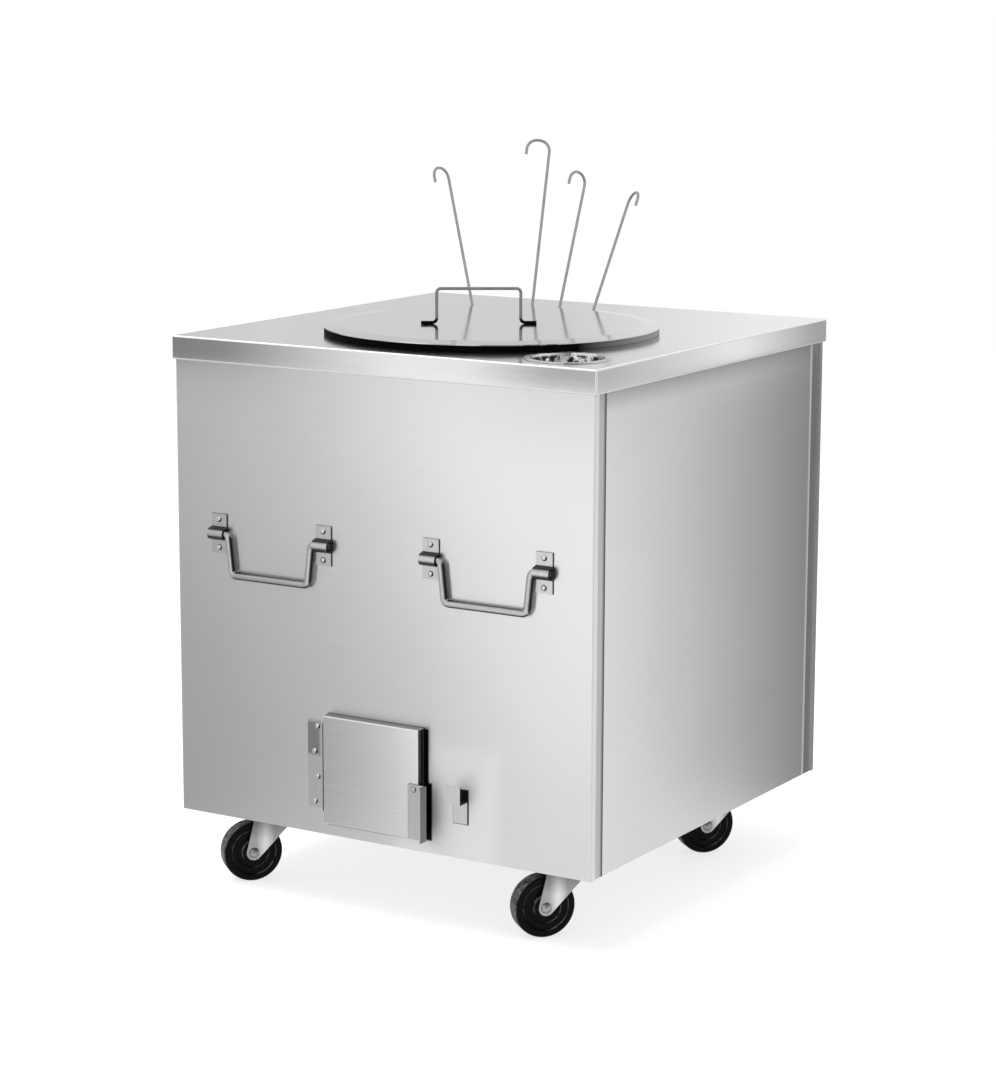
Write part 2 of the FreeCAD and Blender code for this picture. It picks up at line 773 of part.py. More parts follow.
def make_door_pan():
    body = new_body("door_pan")
    sketch = new_sketch(body, "XZ_Plane", DOOR_BACK)
    high = "(door_low_edge + door_height)"
    rectangle(sketch, DOOR_LEFT, DOOR_RIGHT, "door_low_edge", high)
    block = pad(body, sketch, "door_proud - door_gap")
    face = -value(DOOR_FACE)

    def on_face(edge):
        return all(abs(vertex.Y - face) < 1e-6 for vertex in edge.Vertexes)

    soften(body, block, "door_round", on_face)
    sketch = new_sketch(body, "XZ_Plane", DOOR_BACK)
    left = f"({DOOR_LEFT} + door_sheet)"
    right = f"({DOOR_RIGHT} - door_sheet)"
    rectangle(sketch, left, right, "(door_low_edge + door_sheet)", f"({high} - door_sheet)")
    pocket(body, sketch, "door_proud - door_gap - door_sheet", reverse=True)
    sketch = new_sketch(body, "XZ_Plane", DOOR_FACE)
    circle(sketch, LATCH_X, "latch_height", "latch_pivot_radius + pin_clearance")
    pocket(body, sketch, "door_sheet")


def make_door_liner():
    liner = doc.addObject("Part::Box", "door_liner")
    liner.Label = "door_liner"
    inset = "(door_sheet + liner_gap)"
    bind(liner, "Length", f"door_width - 2*{inset}")
    bind(liner, "Width", "door_sheet")
    bind(liner, "Height", f"door_height - 2*{inset}")
    place(liner, f"{DOOR_LEFT} + {inset}", f"-{DOOR_BACK} - door_sheet", f"door_low_edge + {inset}")
    nodes.append(liner)


def add_knuckles(body, first, count, tab):
    """Hinge barrels with the tab that joins each one to its leaf, repeated up the pin and bored."""
    low = f"({LEAF_LOW} + {first}*{KNUCKLE_PITCH} + knuckle_gap/2)"
    tall = f"{KNUCKLE_PITCH} - knuckle_gap"
    sketch = new_sketch(body, "XY_Plane", low)
    rectangle(sketch, *tab)
    tabs = pad(body, sketch, tall)
    sketch = new_sketch(body, "XY_Plane", low)
    circle(sketch, HINGE_X, "-" + HINGE_Y, "knuckle_radius")
    barrel = pad(body, sketch, tall)
    spread = f"{2 * (count - 1)}*{KNUCKLE_PITCH}"
    pattern(body, "LinearPattern", "Z_Axis", [tabs, barrel], str(count), spread, "Length")
    sketch = new_sketch(body, "XY_Plane", f"({LEAF_LOW} + leaf_height)")
    circle(sketch, HINGE_X, "-" + HINGE_Y, "hinge_pin_radius + pin_clearance")
    body.Tip = pocket(body, sketch, "leaf_height")


def make_hinge_leaf_fixed():
    """The leaf riveted to the front panel, with the odd knuckles."""
    body = new_body("hinge_leaf_fixed")
    sketch = new_sketch(body, "XZ_Plane", CABINET_Y)
    edge = f"({HINGE_X} - knuckle_radius - leaf_relief)"
    rectangle(sketch, f"({edge} - leaf_width)", edge, LEAF_LOW, f"({LEAF_LOW} + leaf_height)")
    pad(body, sketch, "leaf_sheet")
    tab = (f"({edge} - leaf_relief)", HINGE_X, f"(-{CABINET_Y} - leaf_sheet)", f"(-{CABINET_Y} - knuckle_back)")
    add_knuckles(body, 0, 3, tab)
    sketch = new_sketch(body, "XZ_Plane", f"({CABINET_Y} + leaf_sheet)")
    for x, z in hinge_rivet_spots():
        circle(sketch, x, z, RIVET_HOLE)
    body.Tip = pocket(body, sketch, "leaf_sheet")


def make_hinge_leaf_door():
    """The leaf on the door's edge, with the even knuckles."""
    body = new_body("hinge_leaf_door")
    edge = f"(-{HINGE_Y} - knuckle_radius - leaf_relief)"
    sketch = new_sketch(body, "XY_Plane", LEAF_LOW)
    left = f"({DOOR_LEFT} - leaf_sheet)"
    rectangle(sketch, left, DOOR_LEFT, f"({edge} - door_leaf_depth)", edge)
    pad(body, sketch, "leaf_height")
    add_knuckles(body, 1, 2, (left, f"({DOOR_LEFT} - hinge_clear)", f"({edge} - leaf_relief)", "-" + HINGE_Y))


def make_hinge_pin():
    pin = doc.addObject("Part::Cylinder", "hinge_pin")
    pin.Label = "hinge_pin"
    bind(pin, "Radius", "hinge_pin_radius")
    bind(pin, "Height", "leaf_height + 2*pin_overrun")
    place(pin, HINGE_X, "-" + HINGE_Y, f"{LEAF_LOW} - pin_overrun")
    nodes.append(pin)


def make_latch_bar():
    """An angle bar that hangs from its pivot, its outer edge folded forward as a finger grip."""
    body = new_body("latch_bar")
    low = "(latch_height + latch_head - latch_length)"
    sketch = new_sketch(body, "XY_Plane", low)
    left = f"({LATCH_X} - latch_heel)"
    right = f"({LATCH_X} + latch_nose)"
    inside = f"({right} - latch_sheet)"
    front = f"(-{LATCH_FRONT} - latch_flange)"
    outline(sketch, [
        (left, "-" + LATCH_BACK),
        (left, "-" + LATCH_FRONT),
        (inside, "-" + LATCH_FRONT),
        (inside, front),
        (right, front),
        (right, "-" + LATCH_BACK),
    ])
    pad(body, sketch, "latch_length")
    sketch = new_sketch(body, "XZ_Plane", LATCH_FRONT)
    circle(sketch, LATCH_X, "latch_height", "latch_pivot_radius + pin_clearance")
    pocket(body, sketch, "latch_sheet")


def make_keeper_hook():
    """A strip folded into a hook: a foot on the panel, a ledge and an upturned lip."""
    body = new_body("keeper_hook")
    sketch = new_sketch(body, "YZ_Plane", "(keeper_middle - keeper_width/2)")
    under = f"({KEEPER_SEAT} - keeper_sheet)"
    front = f"(-{KEEPER_INSIDE} - keeper_sheet)"
    foot = f"(-{CABINET_Y} - keeper_sheet)"
    outline(sketch, [
        ("-" + CABINET_Y, f"({under} - keeper_foot)"),
        (foot, f"({under} - keeper_foot)"),
        (foot, under),
        (front, under),
        (front, f"({under} + keeper_lip)"),
        ("-" + KEEPER_INSIDE, f"({under} + keeper_lip)"),
        ("-" + KEEPER_INSIDE, KEEPER_SEAT),
        ("-" + CABINET_Y, KEEPER_SEAT),
    ])
    pad(body, sketch, "keeper_width")


# Rivets and bolts

def make_rivet(label, x, y, z, radius="rivet_radius", tail="rivet_tail"):
    """A dome-headed rivet whose head faces the front."""
    head = doc.addObject("Part::Ellipsoid", label + "_head")
    head.Angle1 = 0
    bind(head, "Radius1", "rivet_head_height")
    bind(head, "Radius2", "rivet_head_radius")
    shank = doc.addObject("Part::Cylinder", label + "_shank")
    bind(shank, "Radius", radius)
    bind(shank, "Height", f"{tail} + rivet_head_height/2")
    bind(shank, "Placement.Base.z", "-" + tail)
    rivet = doc.addObject("Part::Fuse", label)
    rivet.Base = head
    rivet.Tool = shank
    rivet.Placement = FreeCAD.Placement(FreeCAD.Vector(), FreeCAD.Rotation(FreeCAD.Vector(1, 0, 0), 90))
    bind(rivet, "Placement.Base.x", x)
    bind(rivet, "Placement.Base.y", y)
    bind(rivet, "Placement.Base.z", z)
    return rivet


def make_group(label, members):
    group = doc.addObject("Part::Compound", label)
    group.Label = label
    group.Links = members
    nodes.append(group)


def clip_places():
    """Each clip's node and its place across the front."""
    return [
        ("left_handle_clip_outer", f"(-{HANDLE_X} - clip_spacing/2)"),
        ("left_handle_clip_inner", f"(-{HANDLE_X} + clip_spacing/2)"),
        ("right_handle_clip_inner", f"({HANDLE_X} - clip_spacing/2)"),
        ("right_handle_clip_outer", f"({HANDLE_X} + clip_spacing/2)"),
    ]


def clip_rivet_spots():
    heights = [f"(handle_height {step} clip_rivet_pitch/2)" for step in ("+", "-")]
    return [(x, z) for label, x in clip_places() for z in heights]


def hinge_rivet_spots():
    """Four rivets up the fixed leaf, alternately nearer to and farther from the door."""
    spots = []
    for index in range(4):
        step = "hinge_rivet_stagger" if index % 2 else "0"
        x = f"({HINGE_X} - knuckle_radius - leaf_relief - hinge_rivet_inset + {step})"
        z = f"({LEAF_MIDDLE} + {index - 1.5}*hinge_rivet_pitch)"
        spots.append((x, z))
    return spots


def make_rivets():
    plate = f"-{CABINET_Y} - clip_sheet"
    members = [make_rivet("clip_rivet", x, plate, z) for x, z in clip_rivet_spots()]
    make_group("clip_rivets", members)
    plate = f"-{CABINET_Y} - leaf_sheet"
    members = [make_rivet("hinge_rivet", x, plate, z) for x, z in hinge_rivet_spots()]
    make_group("hinge_rivets", members)
    seat = f"-{LATCH_FRONT} - pin_clearance"
    tail = "(latch_sheet + latch_gap + door_sheet + rivet_head_height)"
    pivot = make_rivet("latch_rivet", LATCH_X, seat, "latch_height", "latch_pivot_radius", tail)
    pivot.Label = "latch_rivet"
    nodes.append(pivot)


def make_caster_bolts():
    members = []
    for x, y in caster_bolt_spots():
        head = doc.addObject("Part::Prism", "caster_bolt_head")
        head.Polygon = 6
        bind(head, "Circumradius", "bolt_head_radius")
        bind(head, "Height", "bolt_head_height")
        bind(head, "Placement.Base.z", "-bolt_head_height")
        shank = doc.addObject("Part::Cylinder", "caster_bolt_shank")
        bind(shank, "Radius", "bolt_radius")
        bind(shank, "Height", "plate_thickness + base_sheet + rail_thickness - bolt_inset")
        bolt = doc.addObject("Part::Fuse", "caster_bolt")
        bolt.Base = head
        bolt.Tool = shank
        place(bolt, x, y, PLATE_LOW)
        members.append(bolt)
    make_group("caster_bolts", members)


# Drop handles

def make_handle_clip(label, x):
    """A saddle strip: two riveted feet and a hump that holds the bail's end."""
    body = new_body(label)
    sketch = new_sketch(body, "YZ_Plane", "-clip_width/2")
    outline(sketch, [
        ("0", "-clip_height/2"),
        ("0", "-" + CLIP_INNER),
        ("-" + BAIL_AXIS, "-" + CLIP_INNER, (f"(-{BAIL_AXIS} - {CLIP_INNER})", "0")),
        ("-" + BAIL_AXIS, CLIP_INNER),
        ("0", CLIP_INNER),
        ("0", "clip_height/2"),
        ("-clip_sheet", "clip_height/2"),
        ("-clip_sheet", f"({CLIP_OUTER} + clip_flare)"),
        ("-" + BAIL_AXIS, CLIP_OUTER, (f"(-{BAIL_AXIS} - {CLIP_OUTER})", "0")),
        ("-" + BAIL_AXIS, "-" + CLIP_OUTER),
        ("-clip_sheet", f"(-{CLIP_OUTER} - clip_flare)"),
        ("-clip_sheet", "-clip_height/2"),
    ])
    pad(body, sketch, "clip_width")
    sketch = new_sketch(body, "XZ_Plane")
    for step in ("", "-"):
        circle(sketch, "0", f"({step}clip_rivet_pitch/2)", RIVET_HOLE)
    pocket(body, sketch, "clip_sheet", reverse=True)
    place(body, x, "-" + CABINET_Y, "handle_height")


def make_bail(label, x):
    """A round rod bent into a handle that hangs from its two ends."""
    body = new_body(label)
    reach = "(clip_spacing/2 + clip_width/2 + bail_end)"
    corners = [
        ("-" + reach, "0"),
        ("-bail_leg_top", "0"),
        ("-bail_leg_low", "-bail_drop"),
        ("bail_leg_low", "-bail_drop"),
        ("bail_leg_top", "0"),
        (reach, "0"),
    ]
    bent_rod(body, corners, "bail_bend", "bail_radius")
    place(body, x, f"-{CABINET_Y} - {BAIL_AXIS}", "handle_height")


# Lid, cup and skewers

def make_lid():
    body = new_body("lid_disc")
    sketch = new_sketch(body, "XZ_Plane")
    edge_top = f"({LID_TOP} - lid_slope)"
    outline(sketch, [
        ("0", f"({LID_TOP} - lid_sheet)"),
        ("lid_flat", f"({LID_TOP} - lid_sheet)"),
        ("lid_radius", f"({edge_top} - lid_sheet)"),
        ("lid_radius", edge_top),
        ("lid_flat", LID_TOP),
        ("0", LID_TOP),
    ])
    revolve(body, sketch)
    place(body, LID_X, LID_Y)
    body = new_body("lid_band")
    sketch = new_sketch(body, "XZ_Plane")
    outer = "(lid_radius - lid_edge)"
    hem_top = f"({LID_LOW} + band_hem_height)"
    outline(sketch, [
        (f"({outer} - band_hem)", LID_LOW),
        (outer, LID_LOW),
        (outer, f"({edge_top} - lid_sheet)"),
        (f"({outer} - band_sheet)", f"({edge_top} - lid_sheet)"),
        (f"({outer} - band_sheet)", hem_top),
        (f"({outer} - band_hem)", hem_top),
    ])
    revolve(body, sketch)
    place(body, LID_X, LID_Y)
    body = new_body("lid_handle")
    corners = [
        ("(-lid_handle_width/2 - lid_handle_foot)", "0"),
        ("-lid_handle_width/2", "0"),
        ("-lid_handle_width/2", "lid_handle_height"),
        ("lid_handle_width/2", "lid_handle_height"),
        ("lid_handle_width/2", "0"),
        ("(lid_handle_width/2 + lid_handle_foot)", "0"),
    ]
    bent_rod(body, corners, "lid_handle_bend", "lid_handle_wire")
    x = f"{LID_X} + lid_handle_side"
    y = f"{LID_Y} + lid_handle_front"
    place(body, x, y, f"{LID_TOP} + lid_handle_wire", "lid_handle_angle")


def make_cup():
    """A drawn bowl that hangs in the deck by its flange."""
    body = new_body("drop_in_cup")
    sketch = new_sketch(body, "XZ_Plane")
    low = f"({CUP_LIP} - cup_depth)"
    outline(sketch, [
        ("0", low),
        ("(cup_base_radius + cup_sheet)", low),
        ("(cup_bowl_radius + cup_sheet)", CUP_LIP),
        ("cup_flange_radius", CUP_LIP),
        ("cup_flange_radius", f"({CUP_LIP} + cup_sheet)"),
        ("cup_bowl_radius", f"({CUP_LIP} + cup_sheet)"),
        ("cup_base_radius", f"({low} + cup_sheet)"),
        ("0", f"({low} + cup_sheet)"),
    ])
    bowl = revolve(body, sketch)
    outside = value(low)
    inside = value(f"{low} + cup_sheet")
    outer = soften(body, bowl, "cup_round", lambda edge: lies_at(edge, outside))
    soften(body, outer, "cup_round - cup_sheet", lambda edge: lies_at(edge, inside))
    place(body, CUP_X, CUP_Y)


def skewer_axis(name):
    """The unit vector up a skewer's shaft."""
    lean = radians(value(name + "_lean"))
    toward = radians(value(name + "_toward"))
    return FreeCAD.Vector(sin(lean) * cos(toward), sin(lean) * sin(toward), cos(lean))


def make_skewer(name):
    """A pointed rod with a hook, leaning out of the mouth behind the lid with its point on the grate."""
    body = new_body(name)
    sketch = new_sketch(body, "XZ_Plane")
    outline(sketch, [("0", "0"), ("skewer_radius", "skewer_point"), ("0", "skewer_point")])
    revolve(body, sketch)
    crest = f"({name}_length + hook_radius)"
    corners = [
        ("0", "skewer_point"),
        ("0", crest),
        ("2*hook_radius", crest),
        ("2*hook_radius", f"({name}_length - hook_tail)"),
    ]
    bent_rod(body, corners, "hook_bend", "skewer_radius", upright=True)
    axis = skewer_axis(name)
    entry = radians(value(name + "_entry"))
    reach = value(f"mouth_radius - {name}_inset")
    tip_height = value(f"{GRATE_TOP} + skewer_rest_gap")
    rise = value(TOP) - tip_height
    tip = FreeCAD.Vector(reach * cos(entry), reach * sin(entry), value(TOP)) - axis * (rise / axis.z)
    hook = radians(value(name + "_hook"))
    side = FreeCAD.Vector(cos(hook), sin(hook), 0)
    side = (side - axis * side.dot(axis)).normalize()
    across = axis.cross(side)
    body.Placement = FreeCAD.Placement(tip, FreeCAD.Rotation(side, across, axis, "ZXY"))


# Casters

def caster_places():
    """Each caster's name and the place of its swivel."""
    return [
        ("front_left", "-" + CASTER_X, "-" + CASTER_Y),
        ("front_right", CASTER_X, "-" + CASTER_Y),
        ("rear_left", "-" + CASTER_X, CASTER_Y),
        ("rear_right", CASTER_X, CASTER_Y),
    ]


def make_caster_plate(label, x, y):
    """A bolted top plate with the upper race and the king pin that carries the fork."""
    body = new_body(label)
    sketch = new_sketch(body, "XY_Plane", PLATE_LOW)
    rectangle(sketch, "-plate_length/2", "plate_length/2", "-plate_width/2", "plate_width/2")
    pad(body, sketch, "plate_thickness")
    sketch = new_sketch(body, "XZ_Plane")
    nut_low = f"({KING_NUT_TOP} - king_nut_height)"
    outline(sketch, [
        ("0", nut_low),
        ("king_nut_radius", nut_low),
        ("king_nut_radius", KING_NUT_TOP),
        ("king_pin_radius", KING_NUT_TOP),
        ("king_pin_radius", RACE_LOW),
        ("race_radius", RACE_LOW),
        ("race_radius", PLATE_LOW),
        ("0", PLATE_LOW),
    ])
    revolve(body, sketch)
    sketch = new_sketch(body, "XY_Plane", BOTTOM)
    for step_x in ("", "-"):
        for step_y in ("", "-"):
            circle(sketch, step_x + "bolt_spread_x/2", step_y + "bolt_spread_y/2", "bolt_radius + bolt_gap")
    pocket(body, sketch, "plate_thickness")
    place(body, x, y)


def make_caster_fork(label, x, y):
    """A stamped fork: a crown under the race, folded into two legs that trail back to the axle."""
    body = new_body(label)
    low = "(wheel_radius - axle_eye)"
    back = "(-caster_trail - axle_eye)"
    sketch = new_sketch(body, "YZ_Plane", back)
    outline(sketch, [
        ("-" + FORK_OUTSIDE, low),
        ("-" + FORK_INSIDE, low),
        ("-" + FORK_INSIDE, CROWN_LOW),
        (FORK_INSIDE, CROWN_LOW),
        (FORK_INSIDE, low),
        (FORK_OUTSIDE, low),
        (FORK_OUTSIDE, CROWN_TOP),
        ("-" + FORK_OUTSIDE, CROWN_TOP),
    ])
    channel = pad(body, sketch, f"fork_front - {back}")
    crown = value(CROWN_TOP)
    side = value(FORK_OUTSIDE)

    def is_fold(edge):
        spot = edge.Vertexes[0].Point
        runs_along = all(abs(vertex.Y - spot.y) < 1e-6 for vertex in edge.Vertexes)
        return runs_along and lies_at(edge, crown) and abs(abs(spot.y) - side) < 1e-6

    soften(body, channel, "fork_bend", is_fold)
    sketch = new_sketch(body, "XZ_Plane", "-" + FORK_OUTSIDE)
    margin = "axle_eye"
    edge_low = f"({low} - {margin})"
    rectangle(sketch, f"({back} - {margin})", f"(fork_front + {margin})", edge_low, f"({CROWN_TOP} + {margin})")
    shoulder = f"({CROWN_LOW} - fork_heel)"
    back_x = "(-caster_trail + axle_eye*cos(eye_back_angle))"
    back_z = "(wheel_radius + axle_eye*sin(eye_back_angle))"
    front_x = "(-caster_trail + axle_eye*cos(eye_front_angle))"
    front_z = "(wheel_radius + axle_eye*sin(eye_front_angle))"
    outline(sketch, [
        ("fork_front", CROWN_TOP),
        ("-fork_back", CROWN_TOP),
        (back_x, back_z, ("-caster_trail", low)),
        (front_x, front_z),
        ("fork_front", shoulder),
    ])
    pocket(body, sketch, f"2*{FORK_OUTSIDE}", reverse=True)
    sketch = new_sketch(body, "XY_Plane", CROWN_TOP)
    circle(sketch, "0", "0", "king_pin_radius + pin_clearance")
    pocket(body, sketch, "fork_crown")
    sketch = new_sketch(body, "XZ_Plane", "-" + FORK_OUTSIDE)
    circle(sketch, "-caster_trail", "wheel_radius", "axle_radius + pin_clearance")
    pocket(body, sketch, f"2*{FORK_OUTSIDE}", reverse=True)
    place(body, x, y, turn="caster_angle")


def place_on_axle(body, x, y):
    """Turn a body made round its own Z so that it lies on a caster's axle."""
    angle = value("caster_angle")
    trail = value("caster_trail")
    middle_x = value(x) - trail * cos(radians(angle))
    middle_y = value(y) - trail * sin(radians(angle))
    spot = FreeCAD.Vector(middle_x, middle_y, value("wheel_radius"))
    body.Placement = FreeCAD.Placement(spot, FreeCAD.Rotation(angle, 0, 90))


def make_caster_axle(label, x, y):
    body = new_body(label)
    sketch = new_sketch(body, "XZ_Plane")
    seat = f"({FORK_OUTSIDE} + axle_seat_gap)"
    end = f"({seat} + axle_head_height)"
    dome = "((axle_head_radius^2 + axle_head_height^2)/(2*axle_head_height))"
    crest = f"({end} - {dome} + sqrt({dome}^2 - axle_head_radius^2/4))"
    outline(sketch, [
        ("0", "-" + end),
        ("axle_head_radius", "-" + end),
        ("axle_head_radius", "-" + seat),
        ("axle_radius", "-" + seat),
        ("axle_radius", seat),
        ("axle_head_radius", seat, ("axle_head_radius/2", crest)),
        ("0", end),
    ])
    revolve(body, sketch)
    place_on_axle(body, x, y)


def make_caster_wheel(label, x, y):
    """A moulded wheel: hub, recessed web, a raised ring with a groove round it, and a rounded tread."""
    body = new_body(label)
    sketch = new_sketch(body, "XZ_Plane")
    half = "wheel_width/2"
    tread = "(wheel_radius - wheel_round)"
    shoulder = f"({half} - wheel_round)"
    web = f"({half} - web_depth)"
    ring = f"({half} - ring_depth)"
    ring_start = "(hub_radius + wheel_draft + hub_recess)"
    ring_end = f"({ring_start} + 2*wheel_draft + ring_width)"
    groove_end = f"({ring_end} + ring_groove)"
    side = [
        ("(axle_radius + pin_clearance)", HUB_HALF),
        ("hub_radius", HUB_HALF),
        ("(hub_radius + wheel_draft)", web),
        (ring_start, web),
        (f"({ring_start} + wheel_draft)", ring),
        (f"({ring_end} - wheel_draft)", ring),
        (ring_end, web),
        (groove_end, web),
        (f"({groove_end} + wheel_draft)", half),
    ]
    crown = "(wheel_radius - wheel_round*(1 - cos(45)))"
    flank = f"({half} - wheel_round*(1 - cos(45)))"
    near = [(tread, half, (crown, flank)), ("wheel_radius", shoulder)]
    far = [("wheel_radius", "-" + shoulder, (crown, "-" + flank)), (tread, "-" + half)]
    outline(sketch, side + near + far + [(r, "-" + w) for r, w in reversed(side)])
    revolve(body, sketch)
    place_on_axle(body, x, y)


# Build, test and write

make_top_pan()
make_end_panel("front_panel", True)
make_end_panel("rear_panel", False)
make_side_panel("right_side_panel", "0")
make_side_panel("left_side_panel", "180")
make_corner_post("post_front_left", "-", "-")
make_corner_post("post_front_right", "", "-")
make_corner_post("post_rear_left", "-", "")
make_corner_post("post_rear_right", "", "")
make_base_pan()
make_base_rail("base_rail_left", "-")
make_base_rail("base_rail_right", "")
make_hearth_slab()
make_clay_pot()
make_fire_grate()
make_mouth_ring()
make_draft_tunnel()
make_insulation_fill()
make_door_pan()
make_door_liner()
make_hinge_leaf_fixed()
make_hinge_leaf_door()
make_hinge_pin()
make_latch_bar()
make_keeper_hook()
make_rivets()
for clip_name, clip_x in clip_places():
    make_handle_clip(clip_name, clip_x)
make_bail("left_bail", "-" + HANDLE_X)
make_bail("right_bail", HANDLE_X)
make_lid()
make_cup()
for skewer in SKEWERS:
    make_skewer(skewer)
for corner_name, swivel_x, swivel_y in caster_places():
    make_caster_plate("caster_plate_" + corner_name, swivel_x, swivel_y)
    make_caster_fork("caster_fork_" + corner_name, swivel_x, swivel_y)
    make_caster_axle("caster_axle_" + corner_name, swivel_x, swivel_y)
    make_caster_wheel("caster_wheel_" + corner_name, swivel_x, swivel_y)
make_caster_bolts()
doc.recompute()

failed = [thing.Label for thing in doc.Objects if {"Invalid", "Error"} & set(thing.State)]
failed += [node.Label for node in nodes if node.Shape.isNull() or not node.Shape.isValid()]
if failed:
    raise RuntimeError("failed: " + ", ".join(failed))
os.makedirs("parts", exist_ok=True)
for node in nodes:
    node.Shape.exportStep(f"parts/{node.Label}.step")
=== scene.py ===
from math import cos, pi, radians, sin

import bpy
from mathutils import Matrix, Vector


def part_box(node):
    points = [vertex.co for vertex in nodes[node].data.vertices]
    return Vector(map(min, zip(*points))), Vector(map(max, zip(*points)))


# A square stainless steel tandoor on casters, dressed for a studio picture. Lengths are in metres.
# The front faces -Y, and the origin is on the floor under the middle of the cabinet.

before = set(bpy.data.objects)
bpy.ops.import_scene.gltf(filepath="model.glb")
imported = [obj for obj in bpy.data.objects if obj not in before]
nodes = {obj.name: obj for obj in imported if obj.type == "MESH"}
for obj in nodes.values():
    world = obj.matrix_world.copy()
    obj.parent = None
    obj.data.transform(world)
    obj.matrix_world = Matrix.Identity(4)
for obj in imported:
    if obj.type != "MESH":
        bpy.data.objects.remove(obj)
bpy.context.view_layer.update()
scene = bpy.context.scene
scene.view_settings.view_transform = "Standard"

MM = 0.001
X, Y, Z = (1, 0, 0), (0, 1, 0), (0, 0, 1)
CASTERS = ("front_left", "front_right", "rear_left", "rear_right")
TRAIL = Vector((cos(radians(50)), sin(radians(50)), 0))  # from an axle to its swivel

# Camera, from the lines of the cabinet
LENS = 99.82
FILM_WIDTH = 36
AZIMUTH = radians(31.486)
PITCH = radians(10.792)
ROLL = radians(0.182)
AIM = Vector((-0.01761, 0, 0.56354))
DISTANCE = 5.1204

# Studio
FLOOR_SIZE = 14
FLOOR_LIFT = -0.0004
FLOOR_GLOW = 0.72
ROOM_LIGHT = 0.62
CABINET_MIDDLE = Vector((0, 0, 0.5))

# Cabinet sheets
SHEET_DRAG = 0.6
PANEL_FINISH = {"shades": ("#cfcfcf", "#d7d7d7"), "roughness": (0.28, 0.34), "drag": SHEET_DRAG}
# widths of the painted highlights along the folds
FOLD = 3 * MM
WIDE_FOLD = 9 * MM

# Painted light and shade on the front panel: two corners of a box and its soft edge in mm, a shade
# and a roughness
FRONT_PAINTED_LIGHT_AND_SHADE = (
    # painted light: a paler, rougher patch past the latch, which blurs the latch's dark reflection
    ((88, -460, 150), (165, -340, 250), 90, "#eeeeee", 0.7),
    # painted shade round the edges of the keeper's foot, and a painted shadow behind its hook
    ((144, -460, 190.5), (171, -340, 226), 2.5, "#4c4c4c", 0.5),
    ((150, -460, 224), (171, -340, 246), 2, "#262626", 0.6),
    # a painted shadow along the door's free side, and a wider one beside the latch bar
    ((84, -460, 157), (95, -340, 334), 4, "#121212", 0.6),
    ((84, -460, 155), (101, -340, 246), 4, "#121212", 0.6),
)
# Smoke at the top of the fixed hinge leaf, in the same terms
LEAF_STAIN = ((-137, -410, 270), (-117, -390, 315), 10, "#8c8c8c", 0.45)

# Blender's name for the shader node, and the numbers of the Mix node's sockets, whose names repeat
SHADER = "Principled BSDF"
FACTOR, NUMBER_A, NUMBER_B, COLOUR_A, COLOUR_B = 0, 2, 3, 6, 7
MIXED_NUMBER, MIXED_COLOUR = 0, 2


# Materials

def linear(colour):
    """The linear value of an sRGB hex colour."""
    channels = [int(colour[start:start + 2], 16) / 255 for start in (1, 3, 5)]
    return [c / 12.92 if c <= 0.04045 else ((c + 0.055) / 1.055) ** 2.4 for c in channels] + [1]


def add(tree, kind, settings=None, links=None, stops=None):
    """Add a node with its settings, its links and, for a ramp, its stops.

    A setting or a link names its socket, or gives the socket's number.
    """
    made = tree.nodes.new("ShaderNode" + kind)
    for name, setting in (settings or {}).items():
        if isinstance(name, int) or name in made.inputs:
            made.inputs[name].default_value = setting
        else:
            setattr(made, name, setting)
    for name, source in (links or {}).items():
        tree.links.new(source, made.inputs[name])
    for index, (place, colour) in enumerate(stops or []):
        points = made.color_ramp.elements
        point = points[index] if index < 2 else points.new(place)
        point.position = place
        point.color = linear(colour)
    return made


def empty_tree(owner):
    """The node tree of a material or a world, with nothing in it."""
    owner.use_nodes = True
    owner.node_tree.nodes.clear()
    return owner.node_tree


def new_material(name, **sockets):
    """A material with one Principled shader, set on its own sockets."""
    material = bpy.data.materials.new(name)
    tree = empty_tree(material)
    shader = add(tree, "BsdfPrincipled", sockets)
    add(tree, "OutputMaterial", links={"Surface": shader.outputs["BSDF"]})
    return material, tree


def wear(tree, shades, roughness, pattern, bump, height):
    """Drive colour, roughness and bump from one pattern that runs from 0 to 1."""
    shader = tree.nodes[SHADER]
    stops = [(0.25, shades[0]), (0.75, shades[1])]  # noise seldom leaves this middle half
    ramp = add(tree, "ValToRGB", links={"Fac": pattern}, stops=stops)
    spread = {"To Min": roughness[0], "To Max": roughness[1]}
    rough = add(tree, "MapRange", spread, {"Value": pattern})
    raised = add(tree, "Bump", {"Strength": bump, "Distance": height}, {"Height": pattern})
    tree.links.new(ramp.outputs["Color"], shader.inputs["Base Color"])
    tree.links.new(rough.outputs["Result"], shader.inputs["Roughness"])
    tree.links.new(raised.outputs["Normal"], shader.inputs["Normal"])


def change_finish(tree, value, start, end, shade, roughness, ease="LINEAR"):
    """Change the finish to another shade and roughness as a value goes from start to end."""
    shader = tree.nodes[SHADER]
    span = {"interpolation_type": ease, "From Min": start, "From Max": end}
    share = add(tree, "MapRange", span, {"Value": value}).outputs["Result"]
    colour = shader.inputs["Base Color"].links[0].from_socket
    rough = shader.inputs["Roughness"].links[0].from_socket
    tint = {"data_type": "RGBA", COLOUR_B: linear(shade)}
    tinted = add(tree, "Mix", tint, {FACTOR: share, COLOUR_A: colour})
    dulled = add(tree, "Mix", {NUMBER_B: roughness}, {FACTOR: share, NUMBER_A: rough})
    tree.links.new(tinted.outputs[MIXED_COLOUR], shader.inputs["Base Color"])
    tree.links.new(dulled.outputs[MIXED_NUMBER], shader.inputs["Roughness"])
    return share


def along(tree, coordinate, direction):
    """How far a point's place (Object) or its Normal reaches along a direction."""
    source = add(tree, "TexCoord").outputs[coordinate]
    product = {"operation": "DOT_PRODUCT", 1: direction}
    return add(tree, "VectorMath", product, {0: source}).outputs["Value"]


